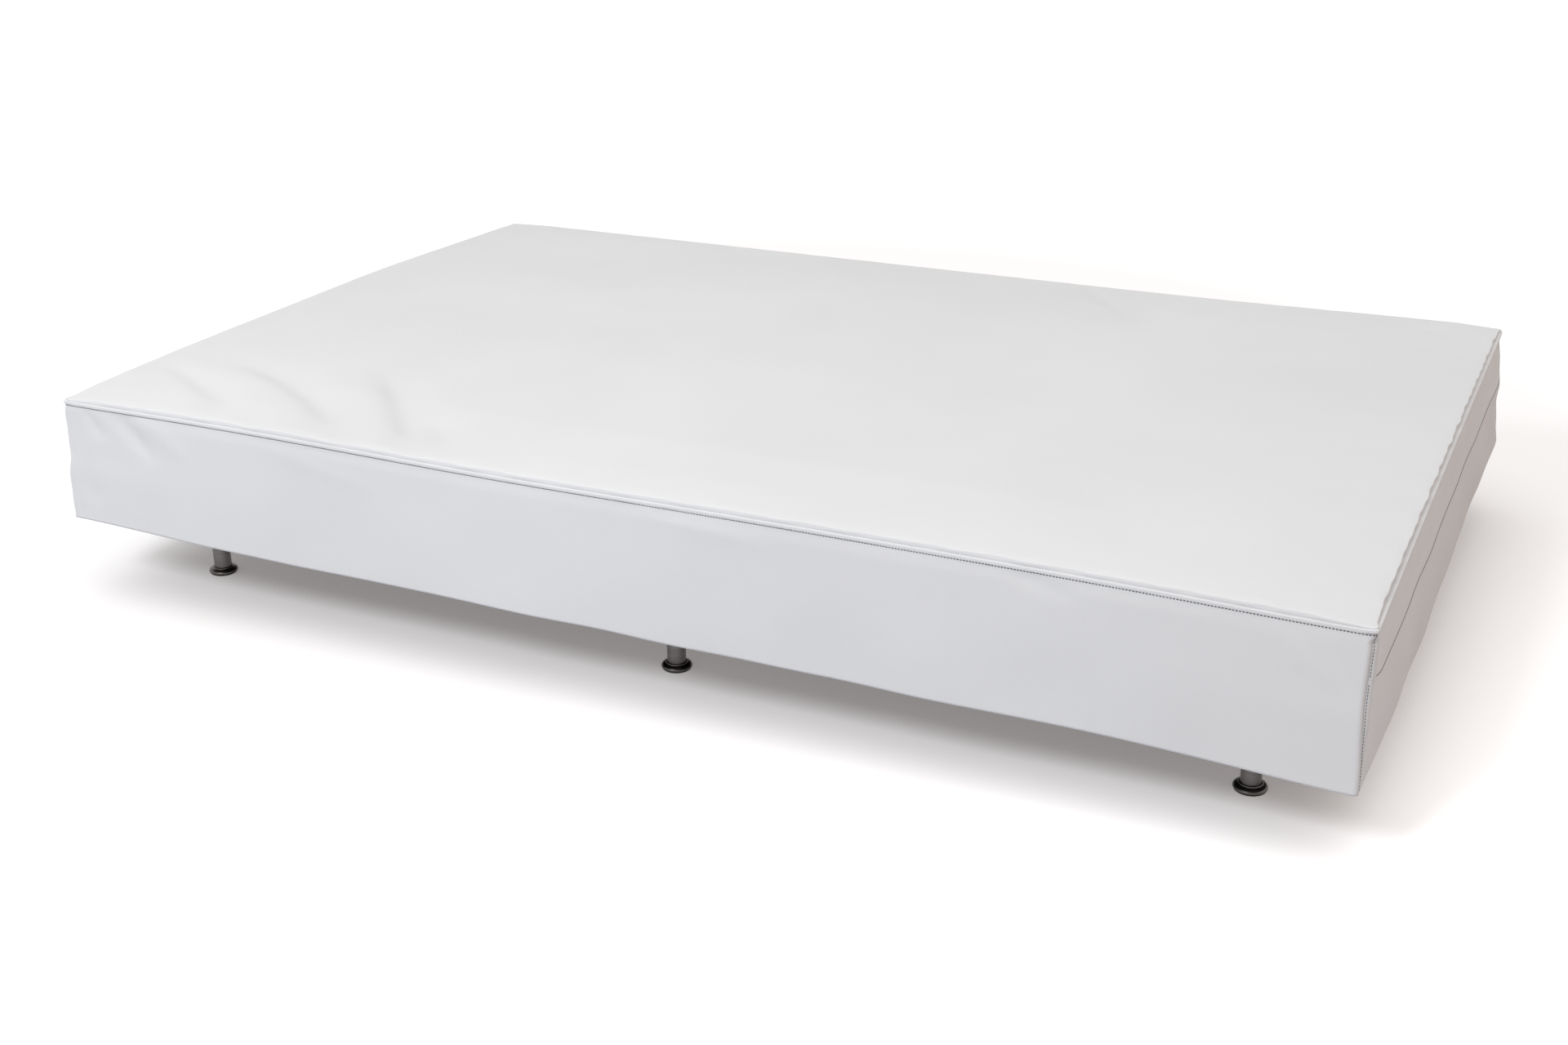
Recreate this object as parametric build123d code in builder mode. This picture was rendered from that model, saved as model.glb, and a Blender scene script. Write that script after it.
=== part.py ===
from build123d import *
import math
import os

os.makedirs("parts", exist_ok=True)

# A low vibrating massage platform: a timber base on six legs, a deck that floats on rubber buffers with two
# unbalance motors under it, foam, and a zipped faux-leather cover. Lengths are in millimetres.
# +X runs along the platform to the zipped end, and -Y is the front. The origin is on the floor, in the middle.
# Round pieces that are small or repeat are drawn with flat sides, which keeps the model light.
round_sides = 24
inner_round_sides = 16
thread_sides = 8
hex_sides = 6

# Cover
seam_length = 2000
seam_depth = 1300
seam_corner_radius = 12
cover_thickness = 1.5
cover_clearance = 0.5
seam_drop = 11
roll_radius = 10
crown_height = 7
band_height = 7
band_proud = 1.2
hem_below_frame = 4
hem_flare = 10

# Lapped zip across the right end
zip_below_seam = 78
zip_bend_inset = 100
zip_bend_radius = 150
zip_bend_turn = 50
lap_proud = 5
lap_height = 14
lap_ramp_height = 12
zip_chain_height = 6.5
lower_edge_lap = 1.5
tape_thickness = 1
tape_foot = 10
tape_head = 30
tooth_width = 1.9
tooth_thickness = 1.8
tooth_slit = 1.2
slider_length = 16
slider_width = 9
slider_corner = 2
slider_plate = 1.1
slider_gap = 0.3
slider_web = 0.6
slider_web_length = 10
slider_eye_length = 7
slider_eye_width = 3
slider_eye_height = 2
slider_eye_hole = 3
slider_eye_slot = 1
slider_park_inset = 120

# Timber base
leg_height = 125
rail_height = 95
rail_thickness = 22
bearer_width = 70
bearer_height = 70
bearer_edge = 3
leg_end_inset = 150
leg_inset = 142
frame_screw_radius = 2.5
frame_screw_length = 60
frame_screw_head_radius = 4.5
frame_screw_edge = 20
dust_cover_thickness = 0.8
dust_cover_clearance = 2

# Legs and feet
plate_side = 62
plate_thickness = 5
plate_corner = 5
plate_screw_inset = 9
leg_screw_radius = 2.5
leg_screw_length = 35
leg_screw_head_radius = 5
leg_screw_head_height = 3
leg_screw_clearance = 0.3
tube_radius = 14
tube_wall = 2
tube_seat_clearance = 0.3
plug_length = 16
stem_radius = 4
stem_length = 38
stem_clearance = 0.06
disc_radius = 23
disc_rim_height = 2.5
disc_bevel = 2.5
disc_neck_radius = 16
disc_neck_height = 1.5
disc_height = 8
pad_radius = 21.5
pad_height = 3

# Floating deck and foam
buffer_height = 30
buffer_radius = 20
buffer_spacing = 480
deck_thickness = 18
base_foam_thickness = 60
comfort_foam_thickness = 24

# Vibration motors
motor_drop = 37
barrel_radius = 31
barrel_wall = 4
barrel_length = 70
motor_foot_width = 96
motor_foot_thickness = 6
motor_foot_corner = 5
saddle_width = 38
motor_bolt_spacing_x = 48
motor_bolt_spacing_y = 78
motor_bolt_radius = 3
motor_bolt_bite = 14
motor_bolt_head_radius = 5
motor_bolt_head_height = 4
motor_bolt_clearance = 0.3
bearing_radius = 11
bearing_width = 7
shield_lip = 1
shield_lip_radius = 6
shaft_radius = 4
shaft_clearance = 0.05
rotor_radius = 15
rotor_length = 36
air_gap = 0.6
winding_reach = 10
winding_inset = 3
weight_radius = 24
weight_hub_radius = 8
weight_width = 11
weight_gap = 3
shaft_end_gap = 2
cap_length = 24
cap_wall = 2
gland_radius = 6
gland_reach = 6
gland_drop = 14

# Control unit at the back rail
box_length = 200
box_depth = 120
box_height = 58
box_wall = 2.5
box_corner = 4
box_offset = 300
panel_thickness = 2.5
panel_lap = 2
post_radius = 4
post_length = 21
post_inset = 12
board_thickness = 1.6
board_margin = 6
transformer_length = 34
transformer_depth = 28
transformer_height = 16
transformer_offset = 40
capacitor_radius = 8
capacitor_height = 15
capacitor_spacing = 24
inlet_offset = 55
inlet_length = 50
inlet_width = 30
inlet_body_depth = 26
inlet_flange = 2.5
inlet_flange_thickness = 2
inlet_corner = 2
socket_shift = 11
socket_length = 24.5
socket_width = 16.5
socket_depth = 16
socket_corner = 4
pin_length = 9
pin_width = 4
pin_thickness = 2
pin_spacing = 7
pin_row_shift = 2
rocker_shift = 16
rocker_well_width = 13
rocker_well_length = 22
rocker_well_depth = 11
rocker_pivot_depth = 6.5
rocker_clearance = 0.4
rocker_half_length = 9.5
rocker_end_height = 7.4
rocker_waist_height = 5.8
rocker_back_height = 1
rocker_tilt = 8
rocker_pin_radius = 1.5
rocker_pin_clearance = 0.05
rocker_pin_reach = 1.5
knob_offset = 50
knob_radius = 11
knob_height = 12
knob_bevel = 1.5
knob_gap = 1
knob_shaft_radius = 3
knob_shaft_length = 30
knob_shaft_clearance = 0.05
pot_radius = 8
bushing_radius = 4.5
panel_hole_clearance = 0.5
box_gland_radius = 7
box_gland_length = 14
box_gland_offset = 70
box_gland_height = 25

# Wiring
lead_radius = 2.5
lead_clearance = 0.3
lead_lane = 8
lead_turn = 150
lead_drop_run = 25
lead_drop_slope = 28
lead_bend_radius = 25
junction_x = 150
junction_y = 330
junction_length = 60
junction_depth = 34
junction_height = 20
flex_lead_radius = 3.5
flex_entry_drop = 12
flex_run = 46
flex_sag = 12

arc_share = 0.45
lane_shares = {"left": -0.5, "right": 0.5}

cut_overrun = 5

# Heights of the stack, from the floor up
frame_bottom = leg_height
bearer_top = frame_bottom + bearer_height
deck_bottom = bearer_top + buffer_height
deck_top = deck_bottom + deck_thickness
foam_joint = deck_top + base_foam_thickness
foam_edge_top = foam_joint + comfort_foam_thickness
seam_height = foam_edge_top - seam_drop
band_bottom = seam_height - band_height
hem_height = frame_bottom - hem_below_frame
plate_bottom = frame_bottom - plate_thickness
disc_top = pad_height + disc_height
tube_bottom = disc_top + tube_seat_clearance

# Plan sizes that follow the cover
core_inset = cover_thickness + tape_thickness + cover_clearance
core_length = seam_length - 2 * core_inset
core_depth = seam_depth - 2 * core_inset
core_corner_radius = seam_corner_radius - core_inset
rail_inner_y = core_depth / 2 - rail_thickness
panel_split = seam_depth / 2 - seam_corner_radius
flare_angle = math.degrees(math.atan(hem_flare / (seam_height - hem_height)))
leg_spacing = seam_length / 2 - leg_end_inset
leg_y = seam_depth / 2 - leg_inset
leg_sides = {"left": -leg_spacing, "middle": 0, "right": leg_spacing}
leg_rows = {"front": -leg_y, "back": leg_y}
plate_screw_spacing = plate_side - 2 * plate_screw_inset


# Timber base


def slope_angle(radius, top_radius, height, sides):
    """Taper that takes a flat-sided disc from one corner radius to another over a height."""
    return math.degrees(math.atan((radius - top_radius) * math.cos(math.pi / sides) / height))


rail_corner_screw_x = core_length / 2 - rail_thickness / 2
frame_screw_spots = [
    (x, z)
    for x in (-rail_corner_screw_x, -leg_spacing, 0, leg_spacing, rail_corner_screw_x)
    for z in (frame_bottom + frame_screw_edge, bearer_top - frame_screw_edge)
]
frame_screw_sink = frame_screw_head_radius - frame_screw_radius
frame_screw_taper = slope_angle(frame_screw_head_radius, frame_screw_radius, frame_screw_sink, hex_sides)
front_face = Plane(origin=(0, -core_depth / 2, 0), x_dir=(-1, 0, 0), z_dir=(0, 1, 0))

with BuildPart() as wood_screws:
    with BuildSketch(front_face):
        with Locations(*frame_screw_spots):
            RegularPolygon(frame_screw_head_radius, hex_sides)
    extrude(amount=frame_screw_sink, taper=frame_screw_taper)
    with BuildSketch(front_face.offset(frame_screw_sink)):
        with Locations(*frame_screw_spots):
            RegularPolygon(frame_screw_radius, hex_sides)
    extrude(amount=frame_screw_length - frame_screw_sink)
    mirror(about=Plane.XZ)
    with BuildSketch(Plane.XY.offset(plate_bottom)):
        with GridLocations(leg_spacing, 2 * leg_y, 3, 2):
            with GridLocations(plate_screw_spacing, plate_screw_spacing, 2, 2):
                RegularPolygon(leg_screw_radius, hex_sides)
    extrude(amount=leg_screw_length)
    with BuildSketch(Plane.XY.offset(plate_bottom)):
        with GridLocations(leg_spacing, 2 * leg_y, 3, 2):
            with GridLocations(plate_screw_spacing, plate_screw_spacing, 2, 2):
                RegularPolygon(leg_screw_head_radius, hex_sides)
    extrude(amount=-leg_screw_head_height)
wood_screws.part.label = "wood_screws"
export_step(wood_screws.part, "parts/wood_screws.step")

with BuildPart() as long_rails:
    with BuildSketch(Plane.XY.offset(frame_bottom)):
        RectangleRounded(core_length, core_depth, core_corner_radius)
        Rectangle(core_length + cut_overrun, 2 * rail_inner_y, mode=Mode.SUBTRACT)
    extrude(amount=rail_height)
long_rails.part.label = "long_rails"
export_step(long_rails.part, "parts/long_rails.step")

with BuildPart() as end_rails:
    with BuildSketch(Plane.XY.offset(frame_bottom)):
        with GridLocations(core_length - rail_thickness, 0, 2, 1):
            Rectangle(rail_thickness, 2 * rail_inner_y)
    extrude(amount=rail_height)
end_rails.part.label = "end_rails"
export_step(end_rails.part, "parts/end_rails.step")

with BuildPart() as bearers:
    with BuildSketch(Plane.XZ):
        with Locations((0, frame_bottom + bearer_height / 2)):
            with GridLocations(leg_spacing, 0, 3, 1):
                Rectangle(bearer_width, bearer_height)
    extrude(amount=rail_inner_y, both=True)
    chamfer(bearers.edges().filter_by(Axis.Y).group_by(Axis.Z)[-1], bearer_edge)
bearers.part.label = "bearers"
export_step(bearers.part, "parts/bearers.step")

panel_length = box_length + 2 * panel_lap
panel_depth = box_depth + 2 * panel_lap
box_y = rail_inner_y - box_depth / 2
plate_hole_side = plate_side + 2 * dust_cover_clearance
panel_hole_length = panel_length + dust_cover_clearance
panel_hole_depth = panel_depth + dust_cover_clearance

with BuildPart() as dust_cover:
    with BuildSketch(Plane.XY.offset(frame_bottom)):
        RectangleRounded(core_length, core_depth, core_corner_radius)
        with GridLocations(leg_spacing, 2 * leg_y, 3, 2):
            Rectangle(plate_hole_side, plate_hole_side, mode=Mode.SUBTRACT)
        with Locations((box_offset, box_y)):
            Rectangle(panel_hole_length, panel_hole_depth, mode=Mode.SUBTRACT)
    extrude(amount=-dust_cover_thickness)
dust_cover.part.label = "dust_cover"
export_step(dust_cover.part, "parts/dust_cover.step")


# Legs: a steel tube with a threaded plug, welded to a screw plate, a foot disc on its stem, and a rubber pad

with BuildPart() as leg:
    with BuildSketch(Plane.XY.offset(plate_bottom)):
        plate = Rectangle(plate_side, plate_side)
        chamfer(plate.vertices(), plate_corner)
        with GridLocations(plate_screw_spacing, plate_screw_spacing, 2, 2):
            RegularPolygon(leg_screw_radius + leg_screw_clearance, hex_sides, mode=Mode.SUBTRACT)
    extrude(amount=plate_thickness)
    with BuildSketch(Plane.XY.offset(tube_bottom)):
        RegularPolygon(tube_radius, round_sides)
    extrude(amount=plate_bottom - tube_bottom)
    with BuildSketch(Plane.XY.offset(tube_bottom + plug_length)):
        RegularPolygon(tube_radius - tube_wall, round_sides)
    extrude(amount=plate_bottom - tube_bottom - plug_length, mode=Mode.SUBTRACT)
    with BuildSketch(Plane.XY.offset(tube_bottom)):
        RegularPolygon(stem_radius + stem_clearance, thread_sides)
    extrude(amount=plug_length, mode=Mode.SUBTRACT)

foot_shoulder = disc_radius - disc_bevel
foot_slope_height = disc_height - disc_neck_height - disc_rim_height - disc_bevel
foot_steps = [
    (disc_rim_height, disc_radius, disc_radius),
    (disc_bevel, disc_radius, foot_shoulder),
    (foot_slope_height, foot_shoulder, disc_neck_radius),
    (disc_neck_height, disc_neck_radius, disc_neck_radius),
]
step_bottom = pad_height

with BuildPart() as foot:
    for height, radius, top_radius in foot_steps:
        with BuildSketch(Plane.XY.offset(step_bottom)):
            RegularPolygon(radius, round_sides)
        extrude(amount=height, taper=slope_angle(radius, top_radius, height, round_sides))
        step_bottom += height
    with BuildSketch(Plane.XY.offset(disc_top)):
        RegularPolygon(stem_radius, thread_sides)
    extrude(amount=stem_length)

with BuildPart() as pad:
    with BuildSketch():
        RegularPolygon(pad_radius, round_sides)
    extrude(amount=pad_height)

leg_pieces = {"leg": leg.part, "foot": foot.part, "pad": pad.part}

for row, y in leg_rows.items():
    for side, x in leg_sides.items():
        for name, pattern in leg_pieces.items():
            with BuildPart() as piece:
                with Locations((x, y, 0)):
                    add(pattern)
            piece.part.label = f"{side}_{row}_{name}"
            export_step(piece.part, f"parts/{side}_{row}_{name}.step")


# Floating deck on rubber buffers

with BuildPart() as rubber_buffers:
    with BuildSketch(Plane.XY.offset(bearer_top)):
        with GridLocations(leg_spacing, buffer_spacing, 3, 3):
            RegularPolygon(buffer_radius, inner_round_sides)
    extrude(amount=buffer_height)
rubber_buffers.part.label = "rubber_buffers"
export_step(rubber_buffers.part, "parts/rubber_buffers.step")

with BuildPart() as deck_board:
    with BuildSketch(Plane.XY.offset(deck_bottom)):
        RectangleRounded(core_length, core_depth, core_corner_radius)
    extrude(amount=deck_thickness)
deck_board.part.label = "deck_board"
export_step(deck_board.part, "parts/deck_board.step")

with BuildPart() as base_foam:
    with BuildSketch(Plane.XY.offset(deck_top)):
        RectangleRounded(core_length, core_depth, core_corner_radius)
    extrude(amount=base_foam_thickness)
base_foam.part.label = "base_foam"
export_step(base_foam.part, "parts/base_foam.step")


def crowned_block(inset, bottom, lift):
    """Block that is crowned from front to back, with rolled upper edges, inset from the seam and lifted."""
    half_length = seam_length / 2 - inset
    half_depth = seam_depth / 2 - inset
    edge_top = foam_edge_top + lift
    with BuildPart() as block:
        with BuildSketch(Plane.YZ):
            with BuildLine():
                sides = Polyline(
                    (-half_depth, edge_top),
                    (-half_depth, bottom),
                    (half_depth, bottom),
                    (half_depth, edge_top),
                )
                ThreePointArc(sides @ 1, (0, edge_top + crown_height), sides @ 0)
            make_face()
        extrude(amount=half_length, both=True)
        fillet(block.edges().filter_by(Axis.Z), seam_corner_radius - inset)
        fillet(block.faces().sort_by(Axis.Z)[-1].edges(), roll_radius - inset)
    return block.part


with BuildPart() as comfort_foam:
    add(crowned_block(core_inset, foam_joint, 0))
comfort_foam.part.label = "comfort_foam"
export_step(comfort_foam.part, "parts/comfort_foam.step")


# Vibration motors: each a barrel on a foot plate, with a stator, and a rotor with two half-disc weights

motor_foot_bottom = deck_bottom - motor_foot_thickness
motor_height = deck_bottom - motor_drop
shield_thickness = bearing_width + shield_lip
shield_end = barrel_length / 2 + shield_thickness
cap_end = shield_end + cap_length
weight_start = shield_end + weight_gap
stator_bore = rotor_radius + air_gap
gland_height = deck_bottom - gland_drop
gland_end = barrel_radius + gland_reach
motor_places = {"left": -leg_spacing / 2, "right": leg_spacing / 2}
motor_ends = [-1, 1]


def motor_plane(x, along=0):
    """Cross-section plane of a motor, square to its shaft, with its own y axis up."""
    return Plane(origin=(x + along, 0, motor_height), x_dir=(0, 1, 0), z_dir=(1, 0, 0))


with BuildPart() as housing:
    with BuildSketch(motor_plane(0)):
        RegularPolygon(barrel_radius, inner_round_sides)
        with Locations((0, motor_drop / 2)):
            Rectangle(saddle_width, motor_drop)
    extrude(amount=barrel_length / 2, both=True)
    with BuildSketch(Plane.XY.offset(motor_foot_bottom)):
        foot_plate = Rectangle(barrel_length, motor_foot_width)
        chamfer(foot_plate.vertices(), motor_foot_corner)
    extrude(amount=motor_foot_thickness)
    with BuildSketch(Plane(origin=(0, saddle_width / 2, gland_height), z_dir=(0, 1, 0))):
        RegularPolygon(gland_radius, hex_sides)
    extrude(amount=gland_end - saddle_width / 2)
    with BuildSketch(motor_plane(0)):
        RegularPolygon(barrel_radius - barrel_wall, inner_round_sides)
    extrude(amount=barrel_length / 2, both=True, mode=Mode.SUBTRACT)
    with BuildSketch(Plane.XY.offset(motor_foot_bottom)):
        with GridLocations(motor_bolt_spacing_x, motor_bolt_spacing_y, 2, 2):
            RegularPolygon(motor_bolt_radius + motor_bolt_clearance, hex_sides)
    extrude(amount=motor_foot_thickness, mode=Mode.SUBTRACT)

with BuildPart() as rotor:
    with BuildSketch(motor_plane(0)):
        RegularPolygon(shaft_radius, inner_round_sides)
    extrude(amount=cap_end - cap_wall - shaft_end_gap, both=True)
    with BuildSketch(motor_plane(0)):
        RegularPolygon(rotor_radius, inner_round_sides)
    extrude(amount=rotor_length / 2, both=True)

with BuildPart() as weights:
    for end in motor_ends:
        with BuildSketch(motor_plane(0, end * weight_start)):
            RegularPolygon(weight_radius, inner_round_sides)
            with Locations((0, weight_radius / 2)):
                Rectangle(2 * weight_radius, weight_radius, mode=Mode.SUBTRACT)
            RegularPolygon(weight_hub_radius, inner_round_sides)
            RegularPolygon(shaft_radius, inner_round_sides, mode=Mode.SUBTRACT)
        extrude(amount=end * weight_width)

motor_pieces = {
    "motor_housing": housing.part,
    "rotor": rotor.part,
    "eccentric_weights": weights.part,
}

for side, x in motor_places.items():
    for name, pattern in motor_pieces.items():
        with BuildPart() as piece:
            with Locations((x, 0, 0)):
                add(pattern)
        piece.part.label = f"{side}_{name}"
        export_step(piece.part, f"parts/{side}_{name}.step")

with BuildPart() as bearing_shields:
    for x in motor_places.values():
        for end in motor_ends:
            with BuildSketch(motor_plane(x, end * barrel_length / 2)):
                RegularPolygon(barrel_radius, inner_round_sides)
            extrude(amount=end * shield_thickness)
            with BuildSketch(motor_plane(x, end * barrel_length / 2)):
                RegularPolygon(bearing_radius, inner_round_sides)
            extrude(amount=end * bearing_width, mode=Mode.SUBTRACT)
            with BuildSketch(motor_plane(x, end * shield_end)):
                RegularPolygon(shield_lip_radius, inner_round_sides)
            extrude(amount=-end * shield_lip, mode=Mode.SUBTRACT)
bearing_shields.part.label = "bearing_shields"
export_step(bearing_shields.part, "parts/bearing_shields.step")

with BuildPart() as ball_bearings:
    for x in motor_places.values():
        for end in motor_ends:
            with BuildSketch(motor_plane(x, end * barrel_length / 2)):
                RegularPolygon(bearing_radius, inner_round_sides)
                RegularPolygon(
                    shaft_radius + shaft_clearance,
                    inner_round_sides,
                    major_radius=False,
                    mode=Mode.SUBTRACT,
                )
            extrude(amount=end * bearing_width)
ball_bearings.part.label = "ball_bearings"
export_step(ball_bearings.part, "parts/ball_bearings.step")

with BuildPart() as stators:
    for x in motor_places.values():
        with BuildSketch(motor_plane(x)):
            RegularPolygon(barrel_radius - barrel_wall, inner_round_sides)
        extrude(amount=rotor_length / 2, both=True)
        with BuildSketch(motor_plane(x)):
            RegularPolygon(barrel_radius - barrel_wall - winding_inset, inner_round_sides)
        extrude(amount=rotor_length / 2 + winding_reach, both=True)
        with BuildSketch(motor_plane(x)):
            RegularPolygon(stator_bore, inner_round_sides)
        extrude(amount=rotor_length / 2 + winding_reach, both=True, mode=Mode.SUBTRACT)
stators.part.label = "stators"
export_step(stators.part, "parts/stators.step")

with BuildPart() as motor_end_caps:
    for x in motor_places.values():
        for end in motor_ends:
            with BuildSketch(motor_plane(x, end * shield_end)):
                RegularPolygon(barrel_radius, inner_round_sides)
            extrude(amount=end * cap_length)
            with BuildSketch(motor_plane(x, end * shield_end)):
                RegularPolygon(barrel_radius - cap_wall, inner_round_sides)
            extrude(amount=end * (cap_length - cap_wall), mode=Mode.SUBTRACT)
motor_end_caps.part.label = "motor_end_caps"
export_step(motor_end_caps.part, "parts/motor_end_caps.step")

with BuildPart() as motor_bolts:
    for x in motor_places.values():
        with BuildSketch(Plane(origin=(x, 0, motor_foot_bottom))):
            with GridLocations(motor_bolt_spacing_x, motor_bolt_spacing_y, 2, 2):
                RegularPolygon(motor_bolt_head_radius, hex_sides)
        extrude(amount=-motor_bolt_head_height)
        with BuildSketch(Plane(origin=(x, 0, motor_foot_bottom))):
            with GridLocations(motor_bolt_spacing_x, motor_bolt_spacing_y, 2, 2):
                RegularPolygon(motor_bolt_radius, hex_sides)
        extrude(amount=motor_foot_thickness + motor_bolt_bite)
motor_bolts.part.label = "motor_bolts"
export_step(motor_bolts.part, "parts/motor_bolts.step")


# Control unit: a box against the back rail, closed below by a panel with the inlet, the rocker and the knob

box_top = frame_bottom + box_height
board_top = box_top - box_wall - post_length
board_bottom = board_top - board_thickness
panel_bottom = frame_bottom - panel_thickness
inlet_x = box_offset - inlet_offset
knob_x = box_offset + knob_offset
knob_top = panel_bottom - knob_gap
inlet_face = panel_bottom - inlet_flange_thickness
socket_x = inlet_x - socket_shift
rocker_x = inlet_x + rocker_shift
rocker_pivot = inlet_face + rocker_pivot_depth
rocker_pin_end = rocker_well_width / 2 + rocker_pin_reach
box_front = box_y - box_depth / 2
box_gland_x = box_offset - box_gland_offset
box_gland_z = frame_bottom + box_gland_height
inlet_hole_length = inlet_length + panel_hole_clearance
inlet_hole_width = inlet_width + panel_hole_clearance
board_length = box_length - 2 * (box_wall + board_margin)
board_depth = box_depth - 2 * (box_wall + board_margin)

with BuildPart() as control_box:
    with BuildSketch(Plane(origin=(box_offset, box_y, frame_bottom))):
        RectangleRounded(box_length, box_depth, box_corner)
    extrude(amount=box_height)
    with BuildSketch(Plane(origin=(box_offset, box_y, frame_bottom))):
        Rectangle(box_length - 2 * box_wall, box_depth - 2 * box_wall)
    extrude(amount=box_height - box_wall, mode=Mode.SUBTRACT)
    with BuildSketch(Plane(origin=(box_offset, box_y, board_top))):
        with GridLocations(board_length - 2 * post_inset, board_depth - 2 * post_inset, 2, 2):
            RegularPolygon(post_radius, hex_sides)
    extrude(amount=post_length)
    with BuildSketch(Plane(origin=(box_gland_x, box_front, box_gland_z), z_dir=(0, -1, 0))):
        RegularPolygon(box_gland_radius, hex_sides)
    extrude(amount=box_gland_length)
control_box.part.label = "control_box"
export_step(control_box.part, "parts/control_box.step")

with BuildPart() as control_panel:
    with BuildSketch(Plane(origin=(box_offset, box_y, frame_bottom))):
        RectangleRounded(panel_length, panel_depth, box_corner)
        with Locations((-inlet_offset, 0)):
            Rectangle(inlet_hole_length, inlet_hole_width, mode=Mode.SUBTRACT)
        with Locations((knob_offset, 0)):
            RegularPolygon(bushing_radius + panel_hole_clearance, inner_round_sides, mode=Mode.SUBTRACT)
    extrude(amount=-panel_thickness)
control_panel.part.label = "control_panel"
export_step(control_panel.part, "parts/control_panel.step")

with BuildPart() as circuit_board:
    with BuildSketch(Plane(origin=(box_offset, box_y, board_bottom))):
        Rectangle(board_length, board_depth)
    extrude(amount=board_thickness)
    with BuildSketch(Plane(origin=(box_offset - transformer_offset, box_y, board_top))):
        Rectangle(transformer_length, transformer_depth)
    extrude(amount=transformer_height)
    with BuildSketch(Plane(origin=(box_offset, box_y, board_top))):
        with GridLocations(0, capacitor_spacing, 1, 2):
            RegularPolygon(capacitor_radius, inner_round_sides)
    extrude(amount=capacitor_height)
    with BuildSketch(Plane(origin=(knob_x, box_y, frame_bottom))):
        RegularPolygon(pot_radius, inner_round_sides)
    extrude(amount=board_bottom - frame_bottom)
    with BuildSketch(Plane(origin=(knob_x, box_y, panel_bottom))):
        RegularPolygon(bushing_radius, inner_round_sides)
    extrude(amount=panel_thickness)
    with BuildSketch(Plane(origin=(knob_x, box_y, panel_bottom))):
        RegularPolygon(knob_shaft_radius + knob_shaft_clearance, inner_round_sides, major_radius=False)
    extrude(amount=knob_shaft_length, mode=Mode.SUBTRACT)
circuit_board.part.label = "circuit_board"
export_step(circuit_board.part, "parts/circuit_board.step")

with BuildPart() as mains_inlet:
    with BuildSketch(Plane(origin=(inlet_x, box_y, inlet_face))):
        flange = Rectangle(inlet_length + 2 * inlet_flange, inlet_width + 2 * inlet_flange)
        chamfer(flange.vertices(), inlet_corner)
    extrude(amount=inlet_flange_thickness)
    with BuildSketch(Plane(origin=(inlet_x, box_y, panel_bottom))):
        Rectangle(inlet_length, inlet_width)
    extrude(amount=inlet_body_depth)
    with BuildSketch(Plane(origin=(socket_x, box_y, inlet_face))):
        socket = Rectangle(socket_length, socket_width)
        chamfer(socket.vertices().group_by(Axis.Y)[-1], socket_corner)
    extrude(amount=socket_depth, mode=Mode.SUBTRACT)
    with BuildSketch(Plane(origin=(socket_x, box_y, inlet_face + socket_depth))):
        with Locations((-pin_spacing, -pin_row_shift), (0, pin_row_shift), (pin_spacing, -pin_row_shift)):
            Rectangle(pin_thickness, pin_width)
    extrude(amount=-pin_length)
    with BuildSketch(Plane(origin=(rocker_x, box_y, inlet_face))):
        Rectangle(rocker_well_width, rocker_well_length)
    extrude(amount=rocker_well_depth, mode=Mode.SUBTRACT)
    with BuildSketch(Plane(origin=(rocker_x, box_y, rocker_pivot), z_dir=(1, 0, 0))):
        RegularPolygon(rocker_pin_radius + rocker_pin_clearance, thread_sides, major_radius=False)
    extrude(amount=rocker_pin_end + rocker_clearance, both=True, mode=Mode.SUBTRACT)
mains_inlet.part.label = "mains_inlet"
export_step(mains_inlet.part, "parts/mains_inlet.step")

rocker_lean = math.radians(rocker_tilt)
rocker_plane = Plane(
    origin=(rocker_x, box_y, rocker_pivot),
    x_dir=(0, math.cos(rocker_lean), math.sin(rocker_lean)),
    z_dir=(1, 0, 0),
)

with BuildPart() as rocker:
    with BuildSketch(rocker_plane):
        with BuildLine():
            Polyline(
                (-rocker_half_length, rocker_back_height),
                (-rocker_half_length, -rocker_end_height),
                (0, -rocker_waist_height),
                (rocker_half_length, -rocker_end_height),
                (rocker_half_length, rocker_back_height),
                close=True,
            )
        make_face()
    extrude(amount=rocker_well_width / 2 - rocker_clearance, both=True)
    with BuildSketch(rocker_plane):
        RegularPolygon(rocker_pin_radius, thread_sides)
    extrude(amount=rocker_pin_end, both=True)
rocker.part.label = "power_rocker"
export_step(rocker.part, "parts/power_rocker.step")

with BuildPart() as knob:
    with BuildSketch(Plane(origin=(knob_x, box_y, knob_top))):
        RegularPolygon(knob_radius, inner_round_sides)
    extrude(amount=-knob_height)
    chamfer(knob.faces().sort_by(Axis.Z)[0].edges(), knob_bevel)
    with BuildSketch(Plane(origin=(knob_x, box_y, knob_top))):
        RegularPolygon(knob_shaft_radius, inner_round_sides)
    extrude(amount=knob_shaft_length)
knob.part.label = "intensity_knob"
export_step(knob.part, "parts/intensity_knob.step")


# Wiring: a flexible lead up to a junction block under the deck, and from there a clipped lead to each motor


def lead_tube(points, radii, tube_radius):
    """Round lead along straight runs that are joined by arcs."""
    with BuildPart() as piece:
        with BuildLine() as route:
            FilletPolyline(*points, radius=radii)
        with BuildSketch(Plane(origin=route.line @ 0, z_dir=route.line % 0)):
            RegularPolygon(tube_radius, hex_sides)
        sweep(path=route.line)
    return piece.part


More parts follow.
